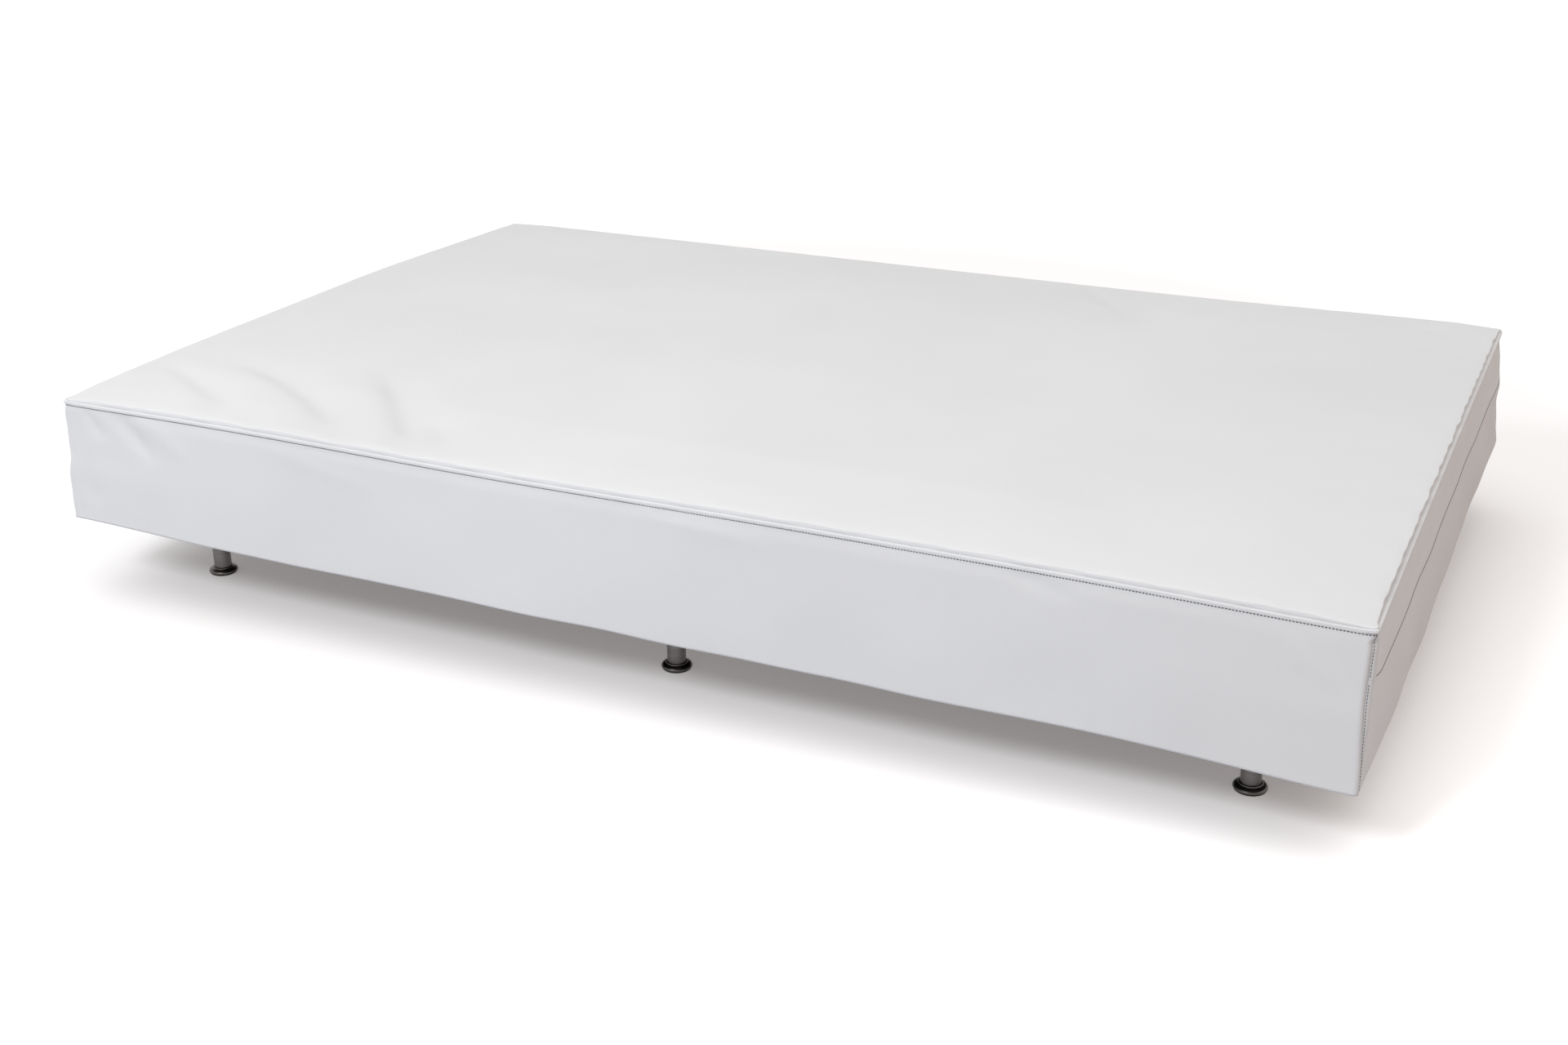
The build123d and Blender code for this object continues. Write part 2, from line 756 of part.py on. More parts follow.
flex_start = Vector(box_gland_x, box_front - box_gland_length, box_gland_z)
flex_end = Vector(junction_x, junction_y + junction_depth / 2, deck_bottom - flex_entry_drop)
flex_leave = flex_start - Vector(0, flex_run, 0)
flex_arrive = flex_end + Vector(0, flex_run, 0)
flex_middle = (flex_leave + flex_arrive) * 0.5 - Vector(0, 0, flex_sag)
flex_points = [flex_start, flex_leave, flex_middle, flex_arrive, flex_end]


def arc_radius(before, corner, after):
    """Largest arc radius that uses under half of the shorter run at a corner of a lead's route."""
    turn = (corner - before).get_angle(after - corner)
    shorter = min((corner - before).length, (after - corner).length)
    return arc_share * shorter / math.tan(math.radians(turn) / 2)


flex_radii = [arc_radius(*flex_points[i : i + 3]) for i in range(3)]
flex_lead = lead_tube(flex_points, flex_radii, flex_lead_radius)
flex_lead.label = "flex_lead"
export_step(flex_lead, "parts/flex_lead.step")
print("flex lead radii", [round(radius) for radius in flex_radii])

lead_height = deck_bottom - lead_clearance - lead_radius

with BuildPart() as wiring_loom:
    with BuildSketch(Plane(origin=(junction_x, junction_y, deck_bottom - junction_height))):
        Rectangle(junction_length, junction_depth)
    extrude(amount=junction_height)
    for side, x in motor_places.items():
        lane_x = junction_x + lane_shares[side] * lead_lane
        lead_points = [
            Vector(lane_x, junction_y - junction_depth / 2, lead_height),
            Vector(lane_x, lead_turn, lead_height),
            Vector(x, lead_turn, lead_height),
            Vector(x, gland_end + lead_drop_run + lead_drop_slope, lead_height),
            Vector(x, gland_end + lead_drop_run, gland_height),
            Vector(x, gland_end, gland_height),
        ]
        add(lead_tube(lead_points, [lead_bend_radius] * 4, lead_radius))
wiring_loom.part.label = "wiring_loom"
export_step(wiring_loom.part, "parts/wiring_loom.step")


# Cover: top panel with its seam band, a skirt that flares to the hem, and the lapped zip in the right end

with BuildPart() as top_panel:
    add(crowned_block(0, band_bottom, cover_clearance + cover_thickness))
    with BuildSketch(Plane.XY.offset(band_bottom)):
        RectangleRounded(
            seam_length + 2 * band_proud,
            seam_depth + 2 * band_proud,
            seam_corner_radius + band_proud,
        )
    extrude(amount=band_height)
    add(crowned_block(cover_thickness, band_bottom, cover_clearance), mode=Mode.SUBTRACT)
top_panel.part.label = "cover_top_panel"
export_step(top_panel.part, "parts/cover_top_panel.step")

with BuildPart() as skirt:
    for inset, mode in ((0, Mode.ADD), (cover_thickness, Mode.SUBTRACT)):
        flared = hem_flare - inset
        with BuildSketch(Plane.XY.offset(hem_height)):
            RectangleRounded(seam_length + 2 * flared, seam_depth + 2 * flared, seam_corner_radius + flared)
        extrude(amount=band_bottom - hem_height, taper=flare_angle, mode=mode)

front_seam = Plane.XZ.offset(panel_split)
back_seam = Plane.XZ.offset(-panel_split)

with BuildPart() as front_panel:
    add(skirt.part)
    split(bisect_by=front_seam, keep=Keep.TOP)
front_panel.part.label = "cover_front_panel"
export_step(front_panel.part, "parts/cover_front_panel.step")

with BuildPart() as back_panel:
    add(skirt.part)
    split(bisect_by=back_seam, keep=Keep.BOTTOM)
back_panel.part.label = "cover_back_panel"
export_step(back_panel.part, "parts/cover_back_panel.step")

with BuildPart() as end_panels:
    add(skirt.part)
    split(bisect_by=front_seam, keep=Keep.BOTTOM)
    split(bisect_by=back_seam, keep=Keep.TOP)

with BuildPart() as left_panel:
    add(end_panels.part)
    split(bisect_by=Plane.YZ, keep=Keep.BOTTOM)
left_panel.part.label = "cover_left_panel"
export_step(left_panel.part, "parts/cover_left_panel.step")

# The zip is drawn on the leaning outer face of the right end: its x runs to the back, and its y up the face

zip_height = seam_height - zip_below_seam
zip_face_x = seam_length / 2 + zip_below_seam * math.tan(math.radians(flare_angle))
flare_tilt = math.radians(flare_angle)
end_face = Plane(
    origin=(zip_face_x, 0, zip_height),
    x_dir=(0, 1, 0),
    z_dir=(math.cos(flare_tilt), 0, math.sin(flare_tilt)),
)
zip_bend_start = seam_depth / 2 - zip_bend_inset
zip_bend_end = math.radians(zip_bend_turn)
slider_park = seam_depth / 2 - slider_park_inset


def zip_line(lift):
    """Line at a height above the zip line, straight from the back and bent up before the front corner."""
    radius = zip_bend_radius - lift
    straight = Line((panel_split + cut_overrun, lift), (-zip_bend_start, lift))
    CenterArc((-zip_bend_start, zip_bend_radius), radius, -90, -zip_bend_turn)
    return straight


def below_zip(lift):
    """Block through the right end that holds all of it below a line at a height above the zip line."""
    radius = zip_bend_radius - lift
    corner_x = -zip_bend_start - radius * math.sin(zip_bend_end)
    corner_y = zip_bend_radius - radius * math.cos(zip_bend_end)
    below = hem_height - zip_height - cut_overrun
    with BuildPart() as block:
        with BuildSketch(end_face):
            with BuildLine():
                zip_line(lift)
                Polyline(
                    (corner_x, corner_y),
                    (corner_x, 2 * below),
                    (panel_split + cut_overrun, 2 * below),
                    (panel_split + cut_overrun, lift),
                )
            make_face()
        extrude(amount=hem_flare + lap_proud, both=True)
    return block.part


def along_zip(section):
    """Strip along the zip, from a section of (height above the zip line, distance out of the face) points."""
    with BuildPart() as strip:
        with BuildLine(end_face) as route:
            zip_line(0)
        start = Plane(origin=route.line @ 0, x_dir=end_face.y_dir, z_dir=(0, 1, 0))
        with BuildSketch(start):
            with BuildLine():
                Polyline(*section, close=True)
            make_face()
        sweep(path=route.line)
        split(bisect_by=front_seam, keep=Keep.BOTTOM)
        split(bisect_by=back_seam, keep=Keep.TOP)
    return strip.part


with BuildPart() as right_end:
    add(end_panels.part)
    split(bisect_by=Plane.YZ, keep=Keep.TOP)

with BuildPart() as right_lower_panel:
    add(right_end.part)
    add(below_zip(lower_edge_lap), mode=Mode.INTERSECT)
right_lower_panel.part.label = "cover_right_lower_panel"
export_step(right_lower_panel.part, "parts/cover_right_lower_panel.step")

ramp_top = lap_height + lap_ramp_height
lap_seat = ramp_top - cover_thickness / 2
lap_section = [
    (ramp_top, 0),
    (lap_height, lap_proud),
    (0, lap_proud),
    (0, lap_proud - cover_thickness),
    (lap_height - cover_thickness / 2, lap_proud - cover_thickness),
    (lap_seat, -cover_thickness),
    (ramp_top, -cover_thickness),
]

with BuildPart() as right_upper_panel:
    add(right_end.part)
    add(below_zip(lap_seat), mode=Mode.SUBTRACT)
    add(along_zip(lap_section))
right_upper_panel.part.label = "cover_right_upper_panel"
export_step(right_upper_panel.part, "parts/cover_right_upper_panel.step")

tape_top = -cover_thickness
tape_bottom = tape_top - tape_thickness
tooth_middle = (tape_top + tape_bottom) / 2
tooth_top = tooth_middle + tooth_thickness / 2
tooth_bottom = tooth_middle - tooth_thickness / 2
slit_low = zip_chain_height - tooth_slit / 2
slit_high = zip_chain_height + tooth_slit / 2

zip_strips = [
    (-tape_foot, slit_low, tape_bottom, tape_top),
    (slit_high, tape_head, tape_bottom, tape_top),
    (slit_low - tooth_width, slit_low, tooth_bottom, tooth_top),
    (slit_high, slit_high + tooth_width, tooth_bottom, tooth_top),
]

with BuildPart() as zip_tape:
    for low, high, inner, outer in zip_strips:
        add(along_zip([(low, inner), (high, inner), (high, outer), (low, outer)]))
zip_tape.part.label = "zip_tape"
export_step(zip_tape.part, "parts/zip_tape.step")

with BuildPart() as zip_slider:
    with BuildSketch(end_face.offset(tooth_top + slider_gap)):
        with Locations((-slider_park, zip_chain_height)):
            plate = Rectangle(slider_length, slider_width)
            chamfer(plate.vertices(), slider_corner)
    extrude(amount=slider_plate)
    with BuildSketch(end_face.offset(tooth_bottom - slider_gap)):
        with Locations((-slider_park, zip_chain_height)):
            plate = Rectangle(slider_length, slider_width)
            chamfer(plate.vertices(), slider_corner)
    extrude(amount=-slider_plate)
    with BuildSketch(end_face.offset(tooth_bottom - slider_gap)):
        with Locations((-slider_park, zip_chain_height)):
            Rectangle(slider_web_length, slider_web)
    extrude(amount=tooth_thickness + 2 * slider_gap)
    with BuildSketch(end_face.offset(tooth_top + slider_gap + slider_plate)):
        with Locations((-slider_park, zip_chain_height)):
            Rectangle(slider_eye_length, slider_eye_width)
            Rectangle(slider_eye_hole, slider_eye_slot, mode=Mode.SUBTRACT)
    extrude(amount=slider_eye_height)
zip_slider.part.label = "zip_slider"
export_step(zip_slider.part, "parts/zip_slider.step")
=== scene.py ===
"""Vibrating massage platform in white faux leather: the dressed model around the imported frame, in metres."""

import math

import bmesh
import bpy
import numpy as np
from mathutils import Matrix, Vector


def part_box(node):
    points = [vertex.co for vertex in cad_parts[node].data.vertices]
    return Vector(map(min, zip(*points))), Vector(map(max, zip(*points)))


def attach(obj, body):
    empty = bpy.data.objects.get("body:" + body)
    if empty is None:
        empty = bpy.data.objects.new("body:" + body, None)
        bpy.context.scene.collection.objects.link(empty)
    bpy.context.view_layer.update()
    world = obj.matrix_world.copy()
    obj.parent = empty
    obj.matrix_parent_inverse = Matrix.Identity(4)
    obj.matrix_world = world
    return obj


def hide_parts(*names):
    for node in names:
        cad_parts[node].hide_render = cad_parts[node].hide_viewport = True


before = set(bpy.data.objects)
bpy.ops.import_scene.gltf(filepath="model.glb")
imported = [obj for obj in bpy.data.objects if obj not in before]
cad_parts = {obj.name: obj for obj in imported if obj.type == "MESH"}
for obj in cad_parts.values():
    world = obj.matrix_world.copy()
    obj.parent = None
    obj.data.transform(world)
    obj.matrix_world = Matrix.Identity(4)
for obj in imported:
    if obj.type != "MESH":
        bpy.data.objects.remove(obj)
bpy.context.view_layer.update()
# Cover: half lengths of the seam's rectangle, its corner's radius, and the heights of seam, band and hem
SEAM_X, SEAM_Y, CORNER = 1.0, 0.65, 0.006
SEAM_Z, BAND_Z, HEM_Z = 0.325, 0.3186, 0.121
# The panels reach up behind the band, and their slope is counted from just above its lower edge
PANEL_TOP, SLOPE_TOP = BAND_Z + 0.0012, BAND_Z + 0.001
WALL, HEM_FLARE = 0.0015, 0.0115
# Top panel: height along its edge, rise of its crown, and where that starts to fall to front and back
EDGE_Z, CROWN, CREASE_Y = 0.3335, 0.011, 0.475
# Fold line of the zip's lap on the right end, its rise to the front, and the arc that bends it up there
ZIP_Z, ZIP_RISE = 0.243, 0.009
ZIP_BEND_Y, ZIP_RADIUS = -0.585, 0.18


def frame_box(name):
    """Low and high corner of one of the frame's nodes, to a hundredth of a millimetre."""
    low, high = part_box(name)
    return np.round(low, 5), np.round(high, 5)


DECK_TOP, FOAM_JOINT = [corner[2] for corner in frame_box("base_foam")]
UNDERSIDE = FOAM_JOINT + 0.0002


# Meshes

def quads(rows, columns, closed=False):
    """Faces of a grid of rows by columns points; closed joins the last column to the first."""
    column = np.arange(columns if closed else columns - 1)[None, :]
    row = np.arange(rows - 1)[:, None] * columns
    beside = (column + 1) % columns
    return np.stack(
        [row + column, row + beside, row + beside + columns, row + column + columns], -1
    ).reshape(-1, 4)


def joined(parts):
    """Several (points, faces) parts as one."""
    points, faces, start = [], [], 0
    for part_points, part_faces in parts:
        points.append(part_points.reshape(-1, 3))
        faces += (np.asarray(part_faces) + start).tolist()
        start += len(points[-1])
    return np.concatenate(points), faces


def make_piece(name, parts, material, body, replaces=(), out=True):
    """One smooth object from (points, faces) parts, on a body of the frame.

    Doubled points at poles and seams are merged, and out turns the faces outward.
    """
    points, faces = joined(parts)
    mesh = bpy.data.meshes.new(name)
    mesh.from_pydata(points.tolist(), [], faces)
    shape = bmesh.new()
    shape.from_mesh(mesh)
    bmesh.ops.remove_doubles(shape, verts=shape.verts, dist=1e-7)
    if out:
        bmesh.ops.recalc_face_normals(shape, faces=shape.faces)
    shape.to_mesh(mesh)
    shape.free()
    mesh.shade_smooth()
    mesh.materials.append(material)
    piece = bpy.data.objects.new(name, mesh)
    bpy.context.scene.collection.objects.link(piece)
    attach(piece, body)
    if replaces:
        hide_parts(*replaces)
    return piece


def normals_of(grid):
    """Unit normals of a grid of points, from the cross product of its two finite differences."""
    across = np.gradient(grid, axis=1)
    along = np.gradient(grid, axis=0)
    normal = np.cross(across, along)
    return normal / np.maximum(np.linalg.norm(normal, axis=-1, keepdims=True), 1e-12)


def walled(grid, thickness):
    """A closed shell: the grid, a copy moved inward by the thickness, and the four rims between them."""
    rows, columns = grid.shape[:2]
    inner = grid - normals_of(grid) * np.asarray(thickness)[..., None]
    ring = np.concatenate([grid, inner[::-1], grid[:1]])
    first = np.stack([ring[: rows, 0], inner[:, 0]], 1)
    last = np.stack([grid[:, -1], inner[:, -1]], 1)
    return [(ring, quads(len(ring), columns)), (first, quads(rows, 2)), (last, quads(rows, 2))]


def turned(profile, x, y, sides=64):
    """Surface of revolution: (radius, height) points turned about the upright axis at x, y."""
    radius, height = np.array(profile, float).T
    angle = np.linspace(0, 2 * math.pi, sides, endpoint=False)
    out, up = radius[:, None], np.repeat(height[:, None], sides, 1)
    points = np.stack([x + out * np.cos(angle), y + out * np.sin(angle), up], -1)
    return points, quads(len(radius), sides, closed=True)


def rounded(profile, radius, steps):
    """The profile with each inner corner cut by a quadratic curve between its two sides."""
    profile = np.array(profile, float)
    out = [profile[:1]]
    t = np.linspace(0, 1, steps)[:, None]
    for before, corner, after in zip(profile[:-2], profile[1:-1], profile[2:]):
        a, b = before - corner, after - corner
        cut = min(radius, 0.45 * np.linalg.norm(a), 0.45 * np.linalg.norm(b))
        start = corner + a / np.linalg.norm(a) * cut
        end = corner + b / np.linalg.norm(b) * cut
        out.append((1 - t) ** 2 * start + 2 * t * (1 - t) * corner + t**2 * end)
    out.append(profile[-1:])
    return np.concatenate(out)


def smoothstep(low, high, value):
    """0 below low, 1 above high, and a smooth cubic between."""
    share = np.clip((value - low) / (high - low), 0, 1)
    return share * share * (3 - 2 * share)


def fold(u, v, start, end, width, height, steep=1.0, bow=0.0):
    """Ridge along a line from start to end, which fades out towards both ends.

    Its section is a bell of the width, times steep on the left, and bow moves its middle to the left.
    """
    du, dv = end[0] - start[0], end[1] - start[1]
    length = math.hypot(du, dv)
    along = ((u - start[0]) * du + (v - start[1]) * dv) / length**2
    left = ((v - start[1]) * du - (u - start[0]) * dv) / length - 4 * bow * along * (1 - along)
    fade = smoothstep(-0.15, 0.35, along) * (1 - smoothstep(0.7, 1.15, along))
    return height * np.exp(-((left / np.where(left > 0, width * steep, width)) ** 2)) * fade


def ripple(u, v, seed, size):
    """Gentle unevenness: a sum of plane waves with seeded directions and phases, between about -1 and 1."""
    draw = np.random.default_rng(seed)
    total, terms = 0, 10
    for _ in range(terms):
        turn, phase = draw.uniform(0, 2 * math.pi, 2)
        wave = 2 * math.pi / (size * draw.uniform(0.6, 1.8))
        total = total + np.sin(wave * (u * math.cos(turn) + v * math.sin(turn)) + phase)
    return total / math.sqrt(terms) / 1.5


def puckers(along, seed, size):
    """Irregular gathers along a seam: rectified waves of seeded lengths, between 0 and 1."""
    draw = np.random.default_rng(seed)
    total = 0
    for _ in range(5):
        wave = 2 * math.pi / (size * draw.uniform(0.6, 2.0))
        total = total + np.sin(wave * along + draw.uniform(0, 2 * math.pi))
    return np.clip(total / 3.5, -1, 1) * 0.5 + 0.5


# Shader groups and materials

def put(tree, kind, **settings):
    """A shader node with its settings. A name that starts with in_ fills an input socket or links to it."""
    made = tree.nodes.new(kind)
    for name, value in settings.items():
        if name.startswith("in_"):
            key = name[3:]
            socket = made.inputs[int(key) if key.isdigit() else key.replace("_", " ")]
            if isinstance(value, bpy.types.NodeSocket):
                tree.links.new(value, socket)
            else:
                socket.default_value = value
        else:
            setattr(made, name, value)
    return made


def maths(tree, operation, first, second=0.0, third=0.0):
    """The result of one maths node."""
    made = put(tree, "ShaderNodeMath", operation=operation, in_0=first, in_1=second, in_2=third)
    return made.outputs[0]


def object_place(tree):
    """The object's own coordinates."""
    return put(tree, "ShaderNodeTexCoord").outputs["Object"]


def noise(tree, place, scale, detail, **more):
    """Noise between 0 and 1."""
    made = put(tree, "ShaderNodeTexNoise", in_Vector=place, in_Scale=scale, in_Detail=detail, **more)
    return made.outputs[0]


def remap(tree, value, low, high, new_low, new_high):
    """A value taken linearly from one range to another, clamped."""
    made = put(tree, "ShaderNodeMapRange", in_0=value, in_1=low, in_2=high, in_3=new_low, in_4=new_high)
    return made.outputs[0]


def blend_colour(tree, share, first, second):
    """A mix of two colours."""
    made = put(tree, "ShaderNodeMix", data_type="RGBA", in_0=share)
    for index, value in ((6, first), (7, second)):
        if isinstance(value, bpy.types.NodeSocket):
            tree.links.new(value, made.inputs[index])
        else:
            made.inputs[index].default_value = (*value, 1)
    return made.outputs[2]


def new_group(name, inputs, *outputs):
    """A shader node group with float or colour inputs, and its input and output nodes."""
    group = bpy.data.node_groups.new(name, "ShaderNodeTree")
    for label, value in inputs.items():
        kind = "NodeSocketFloat" if isinstance(value, float) else "NodeSocketColor"
        socket = group.interface.new_socket(label, in_out="INPUT", socket_type=kind)
        socket.default_value = value if isinstance(value, float) else (*value, 1)
    for label in outputs:
        kind = "NodeSocketColor" if label == "Color" else "NodeSocketFloat"
        group.interface.new_socket(label, in_out="OUTPUT", socket_type=kind)
    return group, group.nodes.new("NodeGroupInput"), group.nodes.new("NodeGroupOutput")


STRETCHES = {"Stretch X": 1.0, "Stretch Y": 1.0, "Stretch Z": 1.0}


def stretched_place(group, given):
    """Object coordinates, times the group's stretch along each axis."""
    x, y, z = [given.outputs[label] for label in STRETCHES]
    stretch = put(group, "ShaderNodeCombineXYZ", in_X=x, in_Y=y, in_Z=z)
    place = object_place(group)
    both = put(group, "ShaderNodeVectorMath", operation="MULTIPLY", in_0=place, in_1=stretch.outputs[0])
    return both.outputs[0]


def leather_group():
    """Pressed leather grain: rounded cells with fine creases between them, and slow changes of tone."""
    sizes = {"Cell": 0.0011, "Tone Size": 0.35}
    group, given, result = new_group("pressed_grain", sizes, "Height", "Tone", "Fine")
    place = object_place(group)
    scale = maths(group, "DIVIDE", 1.0, given.outputs["Cell"])
    slow = maths(group, "DIVIDE", 1.0, given.outputs["Tone Size"])
    cells = put(group, "ShaderNodeTexVoronoi", feature="SMOOTH_F1", in_Vector=place, in_Scale=scale)
    fine = noise(group, place, maths(group, "MULTIPLY", scale, 0.45), 3.0)
    creases = maths(group, "MULTIPLY", cells.outputs["Distance"], -0.6)
    group.links.new(maths(group, "ADD", creases, fine), result.inputs["Height"])
    group.links.new(noise(group, place, slow, 2.0), result.inputs["Tone"])
    group.links.new(fine, result.inputs["Fine"])
    return group


def speckle_group():
    """Casting, moulding or weave: a fine noise as the height, and a coarse one as the tone."""
    sizes = {"Size": 0.001, "Tone Size": 0.08, **STRETCHES}
    group, given, result = new_group("fine_texture", sizes, "Height", "Tone")
    place = stretched_place(group, given)
    close = maths(group, "DIVIDE", 1.0, given.outputs["Size"])
    wide = maths(group, "DIVIDE", 1.0, given.outputs["Tone Size"])
    group.links.new(noise(group, place, close, 4.0, in_Roughness=0.6), result.inputs["Height"])
    group.links.new(noise(group, place, wide, 3.0), result.inputs["Tone"])
    return group


def timber_group():
    """Straight-grained timber: growth lines along the board, darker late wood and fine pores."""
    tones = {"Light": (0.5, 0.3, 0.15), "Dark": (0.3, 0.16, 0.07)}
    group, given, result = new_group("timber_grain", {**tones, **STRETCHES}, "Color", "Height")
    place = stretched_place(group, given)
    swirl = noise(group, place, 14.0, 3.0)
    wave = {"in_Scale": 26.0, "in_Distortion": 6.0, "in_Detail": 2.0, "in_Detail_Scale": 1.2}
    rings = {"wave_type": "RINGS", "rings_direction": "SPHERICAL"}
    lines = put(group, "ShaderNodeTexWave", in_Vector=place, **rings, **wave).outputs["Fac"]
    pores = noise(group, place, 420.0, 3.0)
    ringed, swirled = maths(group, "MULTIPLY", lines, 0.55), maths(group, "MULTIPLY", swirl, 0.35)
    share = maths(group, "ADD", ringed, swirled)
    light, dark = given.outputs["Light"], given.outputs["Dark"]
    pored = remap(group, pores, 0.56, 0.7, 0.0, 0.45)
    colour = blend_colour(group, pored, blend_colour(group, share, light, dark), dark)
    group.links.new(colour, result.inputs["Color"])
    group.links.new(maths(group, "SUBTRACT", lines, pores), result.inputs["Height"])
    return group


LEATHER = leather_group()
SPECKLE = speckle_group()
TIMBER = timber_group()


def new_material(name, **values):
    """A material with its Principled shader's own sockets set, its tree and its shader."""
    material = bpy.data.materials.new(name)
    material.use_nodes = True
    tree = material.node_tree
    shader = tree.nodes["Principled BSDF"]
    for label, value in values.items():
        socket = shader.inputs[label.replace("_", " ")]
        socket.default_value = (*value, 1) if isinstance(value, tuple) else value
    return material, tree, shader


def use_group(tree, group, stretch=(), **values):
    """The group placed in a material, with its own values and a stretch along x, y and z."""
    made = put(tree, "ShaderNodeGroup", node_tree=group)
    values.update(zip(STRETCHES, map(float, stretch)))
    for label, value in values.items():
        socket = made.inputs[label.replace("_", " ")]
        socket.default_value = (*value, 1) if isinstance(value, tuple) else value
    return made


def bump(tree, shader, height, strength, distance):
    """A height as bump on the shader."""
    made = put(tree, "ShaderNodeBump", in_Height=height, in_Strength=strength, in_Distance=distance)
    tree.links.new(made.outputs[0], shader.inputs["Normal"])


def roughness(tree, shader, value, low, high, span):
    """Roughness between the two of the span, by a value from low to high."""
    tree.links.new(remap(tree, value, low, high, *span), shader.inputs["Roughness"])


def leather(name, colour, shade, rough):
    """Faux leather: pressed grain, a slow change of tone, and roughness that follows the grain."""
    material, tree, shader = new_material(name, Specular_IOR_Level=0.20)
    grain = use_group(tree, LEATHER)
    share = remap(tree, grain.outputs["Tone"], 0.35, 0.68, 0.0, 1.0)
    tree.links.new(blend_colour(tree, share, colour, shade), shader.inputs["Base Color"])
    roughness(tree, shader, grain.outputs["Fine"], 0.3, 0.7, rough)
    bump(tree, shader, grain.outputs["Height"], 0.22, 0.0004)
    return material


def textured(name, colour, shade, size, rough, metallic=0.0, strength=0.25, stretch=(1, 1, 1)):
    """A moulded, cast, brushed or woven finish: fine texture as bump, and two tones that change slowly."""
    material, tree, shader = new_material(name, Metallic=metallic)
    grain = use_group(tree, SPECKLE, stretch, Size=size)
    height = grain.outputs["Height"]
    tone = remap(tree, grain.outputs["Tone"], 0.3, 0.7, 0.0, 0.5)
    share = maths(tree, "MULTIPLY_ADD", height, 0.5, tone)
    tree.links.new(blend_colour(tree, share, colour, shade), shader.inputs["Base Color"])
    roughness(tree, shader, height, 0.3, 0.7, rough)
    bump(tree, shader, height, strength, size * 0.4)
    return material


def timber(name, light, dark, stretch):
    """Sawn timber or veneer, with the grain along the axis that is stretched least."""
    material, tree, shader = new_material(name)
    grain = use_group(tree, TIMBER, stretch, Light=light, Dark=dark)
    tree.links.new(grain.outputs["Color"], shader.inputs["Base Color"])
    roughness(tree, shader, grain.outputs["Height"], -0.5, 0.6, (0.5, 0.68))
    bump(tree, shader, grain.outputs["Height"], 0.3, 0.0004)
    return material


# Textured finishes: two tones, size of the texture, roughness, and where they differ from the usual, metal,
# strength of the bump and stretch
TEXTURED = {
    # Thread: a dark grey, made darker still as painted shade of the groove that the stitches lie in
    "thread_with_painted_groove_shade": ((0.06, 0.06, 0.08), (0.035, 0.035, 0.05), 0.0004, (0.6, 0.8)),
    "white_zip_tape": ((0.7, 0.7, 0.7), (0.6, 0.6, 0.61), 0.0006, (0.7, 0.85), 0.0, 0.25, (1, 4, 1)),
    "black_dust_cloth": ((0.022, 0.022, 0.024), (0.045, 0.045, 0.048), 0.0012, (0.85, 0.95), 0.0, 0.5),
    "zinc_plated_steel": ((0.62, 0.62, 0.6), (0.45, 0.46, 0.47), 0.002, (0.25, 0.45), 1.0, 0.1),
    "buffer_rubber": ((0.018, 0.018, 0.019), (0.035, 0.034, 0.033), 0.001, (0.6, 0.8)),
    "base_foam": ((0.7, 0.62, 0.42), (0.56, 0.48, 0.3), 0.0016, (0.85, 0.95), 0.0, 0.6),
    "motor_casting": ((0.13, 0.145, 0.155), (0.09, 0.1, 0.11), 0.0012, (0.45, 0.6), 0.0, 0.35),
    "bearing_steel": ((0.55, 0.55, 0.56), (0.45, 0.45, 0.46), 0.0006, (0.18, 0.3), 1.0, 0.05),
    "cast_iron_weight": ((0.1, 0.1, 0.1), (0.06, 0.055, 0.05), 0.001, (0.5, 0.7), 0.85, 0.4),
    "black_plastic": ((0.016, 0.016, 0.017), (0.024, 0.024, 0.025), 0.0005, (0.36, 0.48), 0.0, 0.15),
    "grey_panel_plastic": ((0.22, 0.225, 0.23), (0.18, 0.185, 0.19), 0.0006, (0.45, 0.58), 0.0, 0.2),
    "black_lead": ((0.016, 0.016, 0.017), (0.03, 0.03, 0.03), 0.0008, (0.45, 0.6)),
    "pad_rubber": ((0.012, 0.012, 0.013), (0.03, 0.028, 0.027), 0.0008, (0.55, 0.75), 0.0, 0.3),
    "brushed_steel_leg": (
        (0.27, 0.26, 0.255), (0.17, 0.165, 0.16), 0.0006, (0.26, 0.4), 1.0, 0.1, (1, 1, 30)
    ),
    "satin_steel_foot": (
        (0.17, 0.155, 0.145), (0.1, 0.092, 0.086), 0.0007, (0.28, 0.42), 1.0, 0.1, (1, 1, 12)
    ),
}
white_leather = leather("white_faux_leather", (0.8, 0.803, 0.805), (0.775, 0.776, 0.778), (0.5, 0.64))
finish = {name: textured(name, *values) for name, values in TEXTURED.items()}
finish["pine_along"] = timber("pine_timber_along", (0.62, 0.42, 0.22), (0.42, 0.24, 0.1), (0.12, 1, 1))
finish["pine_across"] = timber("pine_timber_across", (0.6, 0.4, 0.21), (0.42, 0.24, 0.1), (1, 0.12, 1))
finish["plywood"] = timber("plywood_deck", (0.58, 0.4, 0.23), (0.4, 0.25, 0.12), (0.16, 1, 3))

# Motors: how far out their middles are, half the length of a stator pack, and the wave of its plates
MOTOR_X, PACK_HALF, PLATE_WAVE = 0.425, 0.0181, 9000.0
# Depth under the top of the circuit board's node down to which its dark parts reach
BOARD_PARTS = 0.016


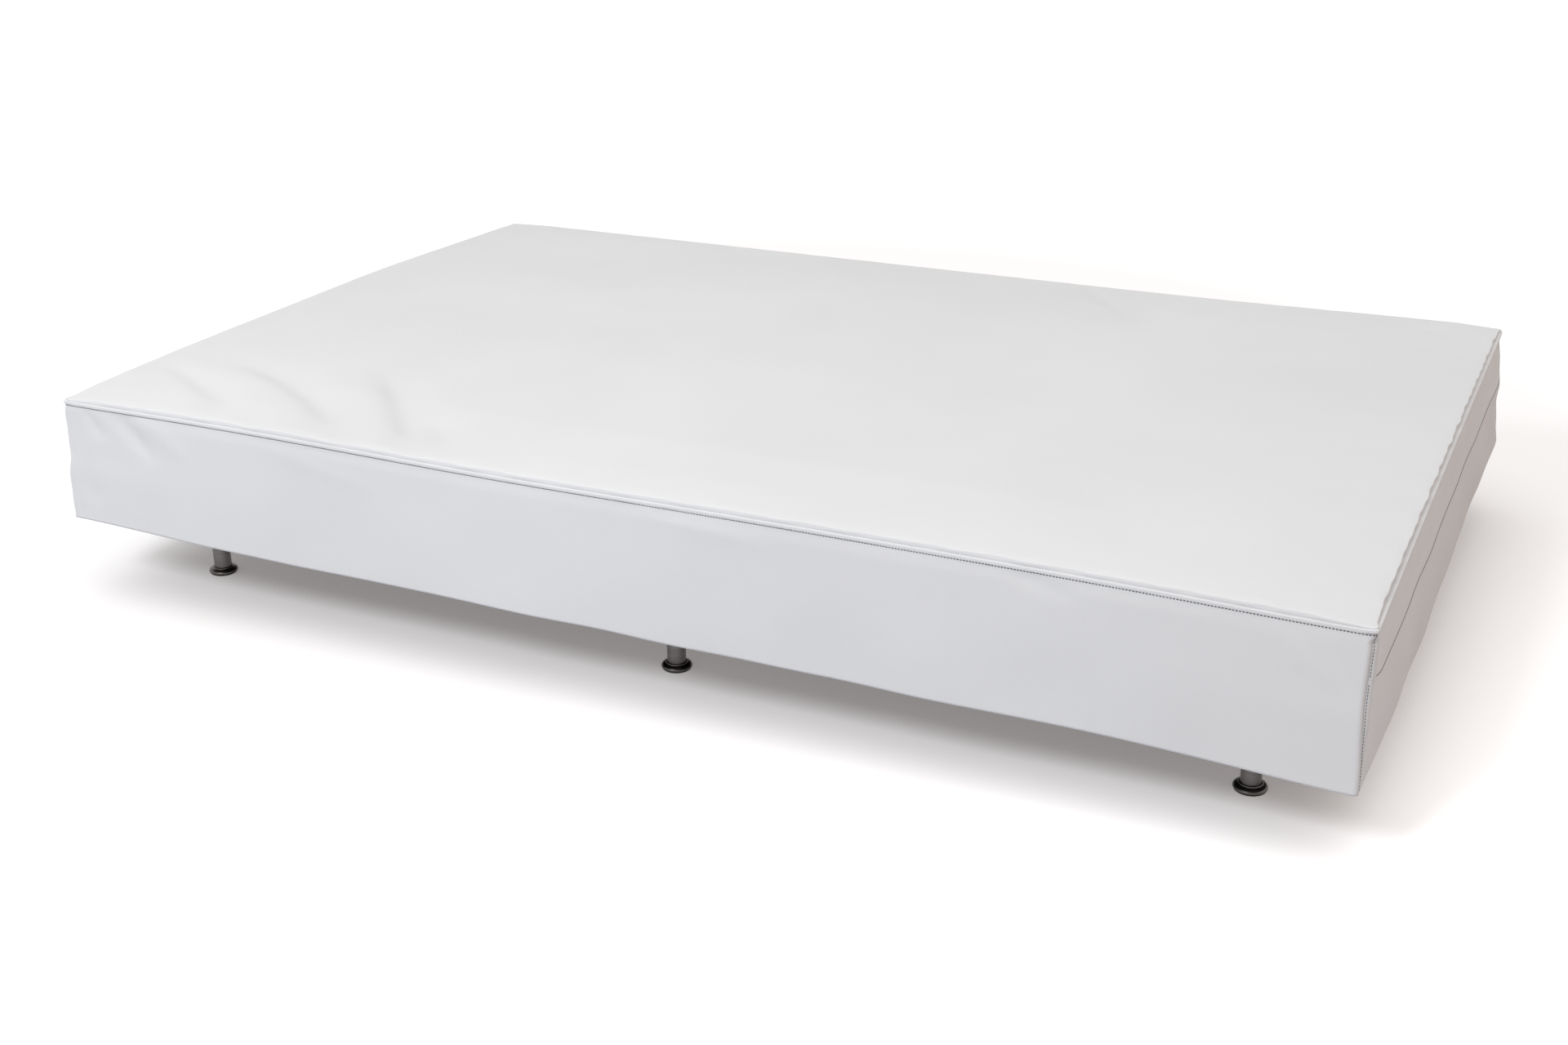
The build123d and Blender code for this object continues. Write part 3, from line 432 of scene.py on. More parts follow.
def stator_material():
    """Laminated stator pack: fine plate lines along the shaft, and copper windings past the pack's ends."""
    material, tree, shader = new_material("stator_steel", Metallic=1.0)
    coordinates = object_place(tree)
    along = put(tree, "ShaderNodeSeparateXYZ", in_0=coordinates).outputs[0]
    from_motor = maths(tree, "SUBTRACT", maths(tree, "ABSOLUTE", along), MOTOR_X)
    winding = maths(tree, "GREATER_THAN", maths(tree, "ABSOLUTE", from_motor), PACK_HALF)
    lines = maths(tree, "SINE", maths(tree, "MULTIPLY", along, PLATE_WAVE))
    grain = use_group(tree, SPECKLE, (0.3, 1, 1), Size=0.0009)
    plates = remap(tree, lines, -1.0, 1.0, 0.0, 1.0)
    steel = blend_colour(tree, plates, (0.34, 0.34, 0.35), (0.2, 0.2, 0.21))
    copper = blend_colour(tree, grain.outputs["Height"], (0.75, 0.32, 0.15), (0.42, 0.15, 0.06))
    tree.links.new(blend_colour(tree, winding, steel, copper), shader.inputs["Base Color"])
    roughness(tree, shader, grain.outputs["Height"], 0.3, 0.7, (0.35, 0.5))
    bump(tree, shader, grain.outputs["Height"], 0.3, 0.0005)
    return material


def board_material():
    """Circuit board: green lacquer with paler copper tracks under it, and dark parts above its face."""
    material, tree, shader = new_material("green_circuit_board")
    coordinates = object_place(tree)
    height = put(tree, "ShaderNodeSeparateXYZ", in_0=coordinates).outputs[2]
    cells = {"distance": "CHEBYCHEV", "feature": "F1", "in_Scale": 160.0}
    tracks = put(tree, "ShaderNodeTexVoronoi", in_Vector=coordinates, **cells)
    share = remap(tree, tracks.outputs["Distance"], 0.3, 0.34, 0.0, 1.0)
    lacquer = blend_colour(tree, share, (0.010, 0.085, 0.035), (0.03, 0.16, 0.07))
    grain = use_group(tree, SPECKLE, Size=0.001)
    part = blend_colour(tree, grain.outputs["Height"], (0.03, 0.03, 0.035), (0.07, 0.07, 0.075))
    top = maths(tree, "GREATER_THAN", height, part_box("circuit_board")[1].z - BOARD_PARTS)
    tree.links.new(blend_colour(tree, top, lacquer, part), shader.inputs["Base Color"])
    roughness(tree, shader, grain.outputs["Height"], 0.3, 0.7, (0.3, 0.45))
    bump(tree, shader, share, 0.2, 0.0001)
    return material


finish["stator"] = stator_material()
finish["circuit_board"] = board_material()


# Upholstery

# Fall of the cover to the back, what its left end adds to that for each metre, and sag of the front
BACK_FALL, LEFT_FALL, FRONT_SAG = 0.0078, 0.0026, 0.0034
# How far the cover is pulled down (or up) near each corner: corner x and y signs, depth, reach
CORNER_PULLS = [
    (1, -1, -0.0045, 0.250),
    (-1, -1, -0.0036, 0.200),
    (1, 1, 0.0070, 0.350),
]

# Folds of the top panel: start, end, half width, height, how much wider on the left side, bow
TOP_FOLDS = [
    ((-0.985, -0.415), (-0.815, -0.510), 0.022, 0.0016, 1.00, 0.000),
    ((-0.947, -0.467), (-0.725, -0.594), 0.018, -0.0051, 2.04, 0.006),
    ((-0.757, -0.574), (-0.632, -0.639), 0.014, -0.0030, 2.04, 0.000),
    ((-0.833, -0.426), (-0.478, -0.635), 0.022, -0.0074, 2.12, 0.030),
    ((-0.579, -0.383), (-0.354, -0.631), 0.020, -0.0078, 2.46, 0.006),
    ((-0.390, -0.517), (-0.290, -0.624), 0.018, -0.0041, 2.21, 0.000),
    ((-0.251, -0.553), (-0.181, -0.633), 0.016, -0.0014, 2.12, 0.000),
    ((-0.960, -0.300), (-0.860, -0.060), 0.040, 0.0014, 0.60, 0.000),
    ((0.263, 0.616), (0.418, 0.411), 0.014, -0.0030, 2.20, 0.000),
    ((0.381, 0.534), (0.451, 0.429), 0.010, -0.0018, 2.20, 0.000),
    ((-0.960, 0.420), (-0.700, 0.590), 0.034, 0.0018, 1.00, 0.000),
    ((0.787, 0.605), (0.952, 0.540), 0.012, -0.0012, 2.00, 0.000),
    ((0.836, 0.458), (0.947, 0.461), 0.012, -0.0010, 2.00, 0.000),
]
# Softness of the crease where the crown starts to fall, and how far in from the ends it falls there
CREASE_SOFTNESS, END_FALL = 0.0006, 0.12
# Heights of the top's unevenness, of the fullness inside its edge, and of the gathers along its seam
HILLS, FULLNESS, GATHERS = 0.0007, 0.0010, 0.0016


def corner_pull(x, y):
    """How far the cover is moved down or up.

    It falls slowly to the back and most at the back left, sags in the front, and has a bell at some corners.
    """
    total = -(BACK_FALL + LEFT_FALL * np.maximum(0.8 - x, 0)) * smoothstep(0.1, SEAM_Y, y)
    total = total - FRONT_SAG * np.exp(-(((x + 0.2) / 0.3) ** 2)) * smoothstep(-0.2, -0.6, y)
    for side, row, depth, reach in CORNER_PULLS:
        away = (x - side * SEAM_X) ** 2 + (y - row * SEAM_Y) ** 2
        total = total + depth * np.exp(-away / reach**2)
    return total


def top_relief(x, y):
    """Height of the top panel above its edge.

    A flat crown falls from a soft crease to the front and back, and in a bell at the ends. Low hills, a
    fullness inside the edge, the folds, and the gathers along the seam are added.
    """
    from_x, from_y = SEAM_X - np.abs(x), SEAM_Y - np.abs(y)
    edge = np.minimum(from_x, from_y)
    slope = (np.abs(y) - CREASE_Y) / (SEAM_Y - CREASE_Y)
    depth = 1 - (slope + np.sqrt(slope**2 + CREASE_SOFTNESS)) / 2
    relief = CROWN * depth * (1 - 0.95 * np.exp(-((from_x / END_FALL) ** 2)))
    relief = relief + HILLS * ripple(x, y, 4, 0.28) * smoothstep(0.0, 0.08, edge)
    relief = relief + FULLNESS * np.exp(-(((edge - 0.06) / 0.04) ** 2))
    for start, end, width, height, steep, bow in TOP_FOLDS:
        relief = relief + fold(x, y, start, end, width, height, steep, bow)
    near_y = puckers(x + 3.1 * np.sign(y), 8, 0.075) * np.exp(-((from_y / 0.035) ** 2))
    near_x = puckers(y + 1.7 * np.sign(x), 9, 0.080) * np.exp(-((from_x / 0.035) ** 2))
    return relief - GATHERS * np.maximum(near_x, near_y) * smoothstep(0.0, 0.012, edge)


# Section of the cushion's rim: (distance out from the seam line, height), from the top down and under
RIM = rounded(
    [
        (-0.0600, EDGE_Z),
        (-0.0110, EDGE_Z + 0.0005),
        (-0.0018, EDGE_Z - 0.0014),
        (-0.0008, 0.3275),
        (-0.0012, 0.3252),
        (-0.0001, 0.3246),
        (0.0006, 0.3236),
        (0.0007, 0.3204),
        (0.0001, 0.3194),
        (-0.0030, 0.3190),
        (-0.0044, 0.3040),
    ],
    0.0065,
    6,
)

# Share of its height above the seam that the top loses at front and back corners, and how far that reaches
FRONT_SINK_SHARE, BACK_SINK_SHARE, SINK_REACH = 0.55, 0.40, 0.045
# Ears, where the bands of two sides meet: how far out along x and y and up at the front right corner, how
# far they reach, and the share that the other corners have
EAR_X, EAR_Y, EAR_Z, EAR_REACH, EAR_SHARE = 0.0026, 0.0020, 0.0030, 0.014, 0.55
# Wave of the top's edge, and how far the band stands out and the top above it rolls back at the ends
EDGE_WAVE, END_BAND, END_ROLL = 0.0024, 0.0014, 0.0036


def spread(length, fine, coarse, margin):
    """Places from 0 to length, close together within the margin at both ends and wider apart between."""
    near = np.arange(0, margin, fine)
    far = np.linspace(margin, length - margin, int((length - 2 * margin) / coarse) + 2)
    return np.concatenate([near, far, length - near[::-1]])


def corner_ring(share, distance, radius):
    """Places on a quarter ring with a rounded corner: straight, then round an arc of the radius.

    They are taken by a share of the way from the straight's start to the diagonal.
    """
    straight = distance - radius
    length = share * (straight + radius * math.pi / 4)
    turn = np.maximum(length - straight, 0) / np.maximum(radius, 1e-9)
    return straight + radius * np.cos(turn), np.minimum(length, straight) + radius * np.sin(turn)


def shaped_edge(x, y, height, past_x, past_y):
    """The cushion's points with sunk corners, ears on the band, a waved edge, and the ends rolled back."""
    off_x, off_y = np.abs(x) - SEAM_X, np.abs(y) - SEAM_Y
    sink = np.where(y < 0, FRONT_SINK_SHARE, BACK_SINK_SHARE)
    sink = sink * np.exp(-((off_x / SINK_REACH) ** 2) - (off_y / SINK_REACH) ** 2)
    height = height - np.maximum(height - SEAM_Z, 0) * sink
    ear = np.exp(-((off_x / EAR_REACH) ** 2) - (off_y / EAR_REACH) ** 2)
    ear = ear * np.where((x > 0) & (y < 0), 1.0, EAR_SHARE)
    # The band's share is full on it, and the roll's starts just above it and is less on the top's shoulder
    band = smoothstep(0.3125, 0.318, height) * (1 - smoothstep(0.326, 0.331, height))
    x = x + np.sign(x) * ear * band * EAR_X
    y = y + np.sign(y) * ear * band * EAR_Y
    height = height + ear * band * EAR_Z
    wave = puckers(np.where(past_x > past_y, 2.3 * np.sign(x) - y, x + 4.7 * np.sign(y)), 5, 0.07) - 0.5
    near_seam = np.exp(-((np.maximum(off_x, off_y) / 0.030) ** 2))
    crest = EDGE_WAVE * wave * smoothstep(SEAM_Z, SEAM_Z + 0.005, height) * near_seam
    end, long = smoothstep(0, 0.03, past_x - past_y), smoothstep(0, 0.03, past_y - past_x)
    roll = smoothstep(0.3248, 0.3258, height) * (1 - 0.6 * smoothstep(0.3290, 0.3325, height))
    roll = roll * np.exp(-((off_x / 0.020) ** 2))
    x = x + np.sign(x) * (END_BAND * band - END_ROLL * roll - crest) * end
    y = y - np.sign(y) * crest * long
    return x, y, height + 0.4 * crest * (end + long)


def cushion():
    """Top cushion: a grid over its plan, closed by a flat underside.

    The grid's outer lines follow the rim's section and turn the corners on small arcs.
    """
    reach = -RIM[0, 0]
    core_x, core_y = SEAM_X - reach, SEAM_Y - reach
    steps = np.concatenate([[0], np.cumsum(np.linalg.norm(np.diff(RIM, axis=0), axis=1))])
    rings = steps[1:]
    flat_x = spread(2 * core_x, 0.006, 0.0100, 0.1) - core_x
    flat_y = spread(2 * core_y, 0.006, 0.0090, 0.2) - core_y
    u = np.concatenate([-core_x - rings[::-1], flat_x, core_x + rings])
    v = np.concatenate([-core_y - rings[::-1], flat_y, core_y + rings])
    u, v = np.meshgrid(u, v)
    past_x = np.abs(u) - np.minimum(np.abs(u), core_x)
    past_y = np.abs(v) - np.minimum(np.abs(v), core_y)
    ring = np.maximum(past_x, past_y)
    out = np.interp(ring, steps, RIM[:, 0]) + reach
    height = np.interp(ring, steps, RIM[:, 1])
    # The ring's corner keeps the cover's tight radius, and is rounder further in on the top
    radius = np.minimum(CORNER + 0.5 * np.maximum(reach - 0.004 - out, 0), 0.9 * out)
    share = np.minimum(past_x, past_y) / np.maximum(ring, 1e-12)
    far, near = corner_ring(share, out, radius)
    more_x, more_y = np.where(past_x >= past_y, far, near), np.where(past_x >= past_y, near, far)
    x = np.sign(u) * (np.minimum(np.abs(u), core_x) + more_x)
    y = np.sign(v) * (np.minimum(np.abs(v), core_y) + more_y)
    height = height + top_relief(x, y) * smoothstep(SEAM_Z, EDGE_Z - 0.003, height)
    x, y, height = shaped_edge(x, y, height, past_x, past_y)
    height = height + corner_pull(x, y)
    grid = np.stack([x, y, height], -1)
    rows, columns = grid.shape[:2]
    edge = np.concatenate([grid[0, :-1], grid[:-1, -1], grid[-1, :0:-1], grid[:0:-1, 0]])
    under = edge * [0.985, 0.985, 0] + [0, 0, UNDERSIDE]
    middle = under * [0.0, 0.0, 1.0]
    skirt = np.stack([edge, under, middle])
    return [(grid, quads(rows, columns)), (skirt, quads(3, len(edge), closed=True))]


def seam_line(side):
    """Samples along one side: the place along it, and the lean round its corners.

    Front and back take the corners in, and the ends stop short of them.
    """
    half = SEAM_X if side in ("front", "back") else SEAM_Y
    straight = spread(2 * (half - CORNER), 0.004, 0.0070, 0.03) - (half - CORNER)
    lean = np.zeros(len(straight))
    if side in ("front", "back"):
        turn = np.linspace(0, math.pi / 2, 8)[1:]
        straight = np.concatenate([np.full(7, straight[0]), straight, np.full(7, straight[-1])])
        lean = np.concatenate([-turn[::-1], lean, turn])
    return straight, lean


def side_points(side, straight, lean, out, ends, height):
    """Places of a side's samples moved out from the seam line.

    The corners keep their radius, and the side lengthens to what its two end corners are moved out by.
    """
    half, depth = (SEAM_X, SEAM_Y) if side in ("front", "back") else (SEAM_Y, SEAM_X)
    share = straight / (2 * (half - CORNER)) + 0.5
    more = ends[0] * (1 - share) + ends[1] * share
    along = straight * (half + more - CORNER) / (half - CORNER) + CORNER * np.sin(lean)
    off = depth + out - CORNER + CORNER * np.cos(lean)
    spin = {"front": math.pi, "back": 0.0, "right": -math.pi / 2, "left": math.pi / 2}[side]
    x = along * math.cos(spin) - off * math.sin(spin)
    y = along * math.sin(spin) + off * math.cos(spin)
    return np.stack([x, y, height], -1)


# Folds of the skirt: start and end as (x or y, height), half width, height outward
SIDE_FOLDS = {
    "front": [
        ((-0.905, 0.326), (-0.825, 0.252), 0.014, -0.0042),
        ((-0.962, 0.322), (-0.925, 0.272), 0.011, -0.0032),
        ((-0.860, 0.326), (-0.760, 0.262), 0.016, 0.0018),
        ((-0.975, 0.225), (-0.945, 0.150), 0.016, -0.0018),
        ((-0.600, 0.300), (-0.420, 0.270), 0.012, 0.0010),
        ((0.550, 0.312), (0.640, 0.298), 0.010, -0.0018),
        ((0.050, 0.302), (0.220, 0.290), 0.010, 0.0010),
        ((0.900, 0.300), (0.970, 0.240), 0.016, 0.0014),
    ],
    "left": [
        ((-0.620, 0.300), (-0.540, 0.190), 0.018, -0.0028),
        ((-0.590, 0.300), (-0.480, 0.210), 0.018, 0.0026),
        ((0.600, 0.300), (0.500, 0.200), 0.020, -0.0024),
        ((0.560, 0.300), (0.440, 0.220), 0.018, 0.0020),
    ],
    "right": [
        ((0.610, 0.300), (0.500, 0.262), 0.014, -0.0018),
        ((0.600, 0.225), (0.520, 0.150), 0.016, -0.0026),
        ((0.560, 0.228), (0.460, 0.165), 0.016, 0.0020),
        ((-0.600, 0.215), (-0.520, 0.150), 0.018, 0.0016),
    ],
    "back": [
        ((0.950, 0.300), (0.780, 0.210), 0.020, -0.0026),
        ((0.920, 0.304), (0.720, 0.230), 0.018, 0.0022),
        ((-0.950, 0.300), (-0.800, 0.210), 0.020, -0.0024),
    ],
}
# Upright corner edges: x and y signs, then for x and for y how far out under the band and at the hem, the
# height of their wave, and its phase
CORNER_EDGES = {
    (-1, -1): ((0.0015, 0.0075, 0.0016, 0.4), (0.000, 0.0110, 0.0006, 1.4)),
    (-1, 1): ((0.000, 0.0100, 0.0013, 2.2), (0.000, 0.0110, 0.0008, 0.2)),
    (1, -1): ((0.0026, 0.0030, 0.0004, 1.0), (0.0010, 0.0140, 0.0004, 2.0)),
    (1, 1): ((0.0015, 0.0150, 0.0017, 3.6), (-0.002, 0.0080, 0.0010, 0.9)),
}
# Height of the hem at the corners above its straight line
HEM_LIFTS = {(-1, -1): 0.0042, (-1, 1): 0.0015, (1, -1): -0.0085, (1, 1): 0.004}
HEM_TILT = -0.0032
# How far the end's edge is drawn in at the front right corner, and how near to it
TUCK, TUCK_REACH = 0.0066, 0.0035
# How far along the sides the corner edges and the hem's lifts reach
EDGE_REACH, LIFT_REACH = 0.15, 0.18
# Skirt: fullness under the band, unevenness of two lengths, gathers under the band, and the hem's own wave
SKIRT_FULLNESS, SKIRT_RIPPLE, SKIRT_WAVE, SKIRT_GATHERS, HEM_WAVE = 0.0016, 0.0007, 0.0014, 0.0012, 0.0012
# Groove along the upright seams: depth and width
GROOVE, GROOVE_WIDTH = 0.0008, 0.0016
# Turned-up strip of the hem: its top, and where it has its full thickness, above the hem
TURN_TOP, TURN_FULL = 0.024, 0.021
# The zip's lap: how far its fold stands out, and the dip of its topstitch and how far above the fold that is
LAP_PROUD, LAP_DIP, LAP_STITCH = 0.0028, 0.0006, 0.0055
# Corners at the two ends of each side, in the order of its samples
SIDE_CORNERS = {
    "front": ((1, -1), (-1, -1)),
    "back": ((-1, 1), (1, 1)),
    "right": ((1, 1), (1, -1)),
    "left": ((-1, -1), (-1, 1)),
}


def at_corners(values, x, y, reach):
    """Sum of a value that each corner has, fading away along the sides, and of how near the corners are."""
    total, near = 0, 0
    for (side, row), value in values.items():
        close = np.exp(-((x - side * SEAM_X) ** 2 + (y - row * SEAM_Y) ** 2) / reach**2)
        total, near = total + value * close, near + close
    return total, near


def how_low(height):
    """0 just above the band's lower edge and 1 at the hem."""
    return (SLOPE_TOP - height) / (SLOPE_TOP - HEM_Z)


def corner_edge(down, axis):
    """How far each upright corner edge is moved out along x (0) or y (1): a slope to the hem, and a wave."""
    edges = {}
    for key, value in CORNER_EDGES.items():
        high, low, wave, phase = value[axis]
        bend = wave * (np.sin(down * 11.0 + phase) + 0.4 * np.sin(down * 23.0 + phase))
        slope = high * smoothstep(0.0, 0.12, down) + (low - high) * down
        edges[key] = (slope + bend) * smoothstep(-0.02, 0.05, down)
    return edges


def corner_tuck(x, y, down):
    """How far the edge of an end is drawn in at the front right corner, from the band to near the hem."""
    near = np.maximum(SEAM_Y - CORNER - np.abs(y), 0) / TUCK_REACH
    tuck = -TUCK * np.exp(-(near**2)) * (x > 0) * (y < 0)
    return tuck * smoothstep(0.0, 0.06, down) * smoothstep(1.0, 0.5, down)


def skirt_out(side, x, y, height):
    """Distance of the skirt's face out from the seam line.

    It is a straight flare, a fullness under the band, unevenness, gathers and folds, and near the corners
    the place of their edges.
    """
    along = x if side in ("front", "back") else y
    down = how_low(height)
    edge, near = at_corners(corner_edge(down, 1 if side in ("front", "back") else 0), x, y, EDGE_REACH)
    near = np.minimum(near, 1)
    full = SKIRT_FULLNESS * smoothstep(0, 0.10, down) * (1 - np.clip(down, 0, 1)) ** 0.7
    own = HEM_FLARE * down + full
    own = own + SKIRT_RIPPLE * ripple(along, height * 1.4, 20 + len(side), 0.22)
    own = own + SKIRT_WAVE * ripple(along, height * 0.4, 30 + len(side), 0.34) * down
    own = own + SKIRT_GATHERS * (puckers(along, 40 + len(side), 0.05) - 0.5) * np.exp(-down / 0.10)
    folds = 0
    for start, end, width, lift in SIDE_FOLDS[side]:
        folds = folds + fold(along, height, start, end, width, lift)
    away = 1 - at_corners({key: 1.0 for key in CORNER_EDGES}, x, y, 0.03)[1]
    if side in ("left", "right"):
        edge = edge + corner_tuck(x, y, down)
    return (own * (1 - near) + edge + folds * away) * smoothstep(-0.02, 0.03, down)


def skirt(side, top, bottom, rows=34, lap=None, hem=True):
    """One skirt panel as a closed shell, and its outer face with its places along the side and its heights.

    The side's samples are moved out and down to each row between the panel's top and bottom lines.
    """
    straight, lean = seam_line(side)
    seam = side_points(side, straight, lean, 0.0, (0.0, 0.0), 0.0 * straight)
    x, y = seam[:, 0], seam[:, 1]
    lengthwise = side in ("front", "back")
    along = x if lengthwise else y
    # The rows lie closer together under the band and at the hem
    top_share, hem_share = 0.12, 0.94
    near_band, near_hem = np.linspace(0, top_share, 9)[:-1], np.linspace(hem_share, 1, 5)[1:]
    share = np.concatenate([near_band, np.linspace(top_share, hem_share, rows), near_hem])
    high, low = top(along), bottom(along)
    flat = high + (low - high) * share[:, None]
    out = skirt_out(side, x, y, flat)
    if lap:
        out = out + lap(along, flat)
    groove = (math.pi / 2 - np.abs(lean)) * CORNER if lengthwise else np.abs(along) - (SEAM_Y - CORNER)
    out = out - GROOVE * np.exp(-((groove / GROOVE_WIDTH) ** 2)) * smoothstep(BAND_Z, BAND_Z - 0.004, flat)
    down = how_low(flat)
    edges = corner_edge(down, 0 if lengthwise else 1)
    if side == "front":
        edges[(1, -1)] = edges[(1, -1)] + corner_tuck(SEAM_X, -SEAM_Y, down)
    first, last = SIDE_CORNERS[side]
    height = flat + corner_pull(x, y) * np.clip((flat - HEM_Z) / (BAND_Z - HEM_Z), 0, 1)
    height = height + at_corners(HEM_LIFTS, x, y, LIFT_REACH)[0] * smoothstep(0.26, HEM_Z, flat)
    wave = HEM_TILT * x + HEM_WAVE * ripple(along, 0 * along, 50 + len(side), 0.3)
    height = height + wave * smoothstep(0.20, HEM_Z, flat)
    grid = side_points(side, straight, lean, out, (edges[first], edges[last]), height)
    thick = np.full(height.shape, WALL)
    if hem:
        thick = thick + WALL * smoothstep(HEM_Z + TURN_TOP, HEM_Z + TURN_FULL, flat)
    return walled(grid, thick), (grid, along, flat)


def zip_line(y):
    """Height of the lap's fold line: straight, and bent up on an arc before the front corner."""
    past = np.maximum(ZIP_BEND_Y - y, 0)
    return ZIP_Z - ZIP_RISE * y + ZIP_RADIUS - np.sqrt(ZIP_RADIUS**2 - past**2)


def lap_out(y, height):
    """How far the lap over the zip stands out.

    That is full at its fold with a slight dip at its topstitch, and nothing above and at the corners.
    """
    above = height - zip_line(y)
    proud = LAP_PROUD * (1 - smoothstep(0.004, 0.026, above))
    dip = LAP_DIP * np.exp(-(((above - LAP_STITCH) / 0.0012) ** 2))
    return (proud - dip) * smoothstep(0.0, 0.045, SEAM_Y - CORNER - np.abs(y))


def level(value):
    """A line at one height."""
    return lambda along: np.full(along.shape, value)


def make_cover():
    """The top cushion and the five panels. Gives the outer face of each panel."""
    hidden = ("cover_top_panel", "comfort_foam")
    piece = make_piece("top_cushion", cushion(), white_leather, "deck", hidden)
    under_band, at_hem = level(PANEL_TOP), level(HEM_Z)
    panels = {side: skirt(side, under_band, at_hem) for side in ("front", "back", "left")}
    panels["right_upper"] = skirt("right", under_band, zip_line, 22, lap_out, False)
    panels["right_lower"] = skirt("right", lambda y: zip_line(y) + WALL, at_hem, 26)
    for side, (shell, _) in panels.items():
        name = f"{side}_panel"
        panel = make_piece(name, shell, white_leather, "deck", (f"cover_{name}",))
    return {side: face for side, (_, face) in panels.items()}


def slab(half_x, half_y, low, high, radius, bulge):
    """Foam block: rounded-rectangle rings from the bottom's middle up the sides to the top's middle.

    Its sides swell by the bulge, and its edges are cut by a small chamfer.
    """
    chamfer, rim_share = 0.003, 0.996
    arc = np.linspace(0, math.pi / 2, 7)
    ring = []
    for quarter, (side, row) in enumerate(((1, 1), (-1, 1), (-1, -1), (1, -1))):
        angle = arc + quarter * math.pi / 2
        centre = np.array([side * (half_x - radius), row * (half_y - radius)])
        ring.append(centre + radius * np.stack([np.cos(angle), np.sin(angle)], -1))
    ring = np.concatenate(ring)
    middle = (low + high) / 2
    levels = [(0, low), (0.5, low), (rim_share, low), (1, low + chamfer), (1, middle)]
    levels += [(1, high - chamfer), (rim_share, high), (0.5, high), (0, high)]
    rows = []
    for share, height in levels:
        swell = bulge * (1 - ((height - middle) / (high - middle)) ** 2)
        plan = ring * share + np.sign(ring) * swell * (share == 1)
        rows.append(np.concatenate([plan, np.full((len(ring), 1), height)], 1))
    rows = np.stack(rows)
    return [(rows, quads(len(rows), len(ring), closed=True))]


def make_base_foam():
    """The firm foam block between deck board and top cushion."""
    block = slab(0.9965, 0.6465, DECK_TOP, FOAM_JOINT, 0.009, 0.0008)
    foam = finish["base_foam"]
    piece = make_piece("base_foam_block", block, foam, "deck", ("base_foam",))


# Topstitching

STITCH_PITCH, STITCH_LIFT = 0.0042, 0.0002
# Height of the row under the band
BAND_STITCH_Z = 0.3188


def stitches(places, outward, length, radius):
    """A row of thread stitches along a line of places.

    Each is a six-sided spindle that lies along the line and dips in at its ends.
    """
    places, outward = np.asarray(places, float), np.asarray(outward, float)
    step = np.concatenate([[0], np.cumsum(np.linalg.norm(np.diff(places, axis=0), axis=1))])
    count = int(step[-1] / STITCH_PITCH)
    middle = (np.arange(count) + 0.5) * STITCH_PITCH

    def at(where, values):
        return np.stack([np.interp(where, step, values[:, i]) for i in range(3)], -1)

    centre = at(middle, places)
    along = at(middle + length / 2, places) - at(middle - length / 2, places)
    along /= np.linalg.norm(along, axis=1, keepdims=True)
    up = at(middle, outward)
    up -= along * (up * along).sum(1, keepdims=True)
    up /= np.linalg.norm(up, axis=1, keepdims=True)
    side = np.cross(along, up)
    station = np.array([-0.5, -0.3, 0.3, 0.5]) * length
    size = np.array([0.0, 1.0, 1.0, 0.0]) * radius
    dip = np.array([-1.2, 0.2, 0.2, -1.2]) * radius + STITCH_LIFT
    sides = 6
    angle = np.arange(sides) * math.pi / 3
    rise = dip[None, :, None, None] + size[None, :, None, None] * np.cos(angle)[None, None, :, None]
    shift = size[None, :, None, None] * np.sin(angle)[None, None, :, None]
    points = centre[:, None, None] + along[:, None, None] * station[None, :, None, None]
    points = points + up[:, None, None] * rise + side[:, None, None] * shift
    faces = quads(len(station), sides, closed=True)
    starts = np.arange(count) * len(station) * sides
    return points.reshape(-1, 3), (faces[None] + starts[:, None, None]).reshape(-1, 4)


def surface_line(face, height_of):
    """Points and normals on a panel's outer face along a line of heights, counted before the pull."""
    grid, along, flat = face
    normal = normals_of(grid)
    wanted = height_of(along)
    line, up = [], []
    for column in range(grid.shape[1]):
        heights = flat[::-1, column]
        line.append([np.interp(wanted[column], heights, grid[::-1, column, i]) for i in range(3)])
        up.append([np.interp(wanted[column], heights, normal[::-1, column, i]) for i in range(3)])
    return np.array(line), np.array(up)


def outward_of(line, up):
    """The normals, turned to point away from the platform's upright middle axis."""
    flat = line * [1, 1, 0]
    turn = np.sign((up * flat).sum(1, keepdims=True))
    return up * np.where(turn == 0, 1, turn)


def make_topstitching(faces_of):
    """Thread, darkened with painted shade of its groove: rows under the band, along the lap's fold, and on
    each upright seam of the ends.
    """
    thread = finish["thread_with_painted_groove_shade"]
    rows = []
    for side in ("front", "back", "left", "right_upper"):
        line, up = surface_line(faces_of[side], level(BAND_STITCH_Z))
        rows.append(stitches(line, outward_of(line, up), 0.0035, 0.00052))
    make_piece("band_topstitch", rows, thread, "deck", out=False)

    line, up = surface_line(faces_of["right_upper"], lambda y: zip_line(y) + LAP_STITCH)
    row = stitches(line[:-3], outward_of(line, up)[:-3], 0.0032, 0.00042)
    make_piece("lap_topstitch", [row], thread, "deck", out=False)

    rows = []
    for side in ("left", "right_upper", "right_lower"):
        grid = faces_of[side][0]
        for column, inner in ((1, 0), (-2, -1)):
            line = (grid[3:-1, column] + grid[3:-1, inner]) / 2
            up = outward_of(line, normals_of(grid)[3:-1, column])
            rows.append(stitches(line, up, 0.0032, 0.00042))
    make_piece("corner_topstitch", rows, thread, "deck", out=False)


# Legs and feet

# Fixing plate: half its side, its thickness, its gap to the rail, and the round of its lower edge
PLATE_HALF, PLATE_THICKNESS, PLATE_GAP, PLATE_ROUND = 0.031, 0.005, 0.0002, 0.0006


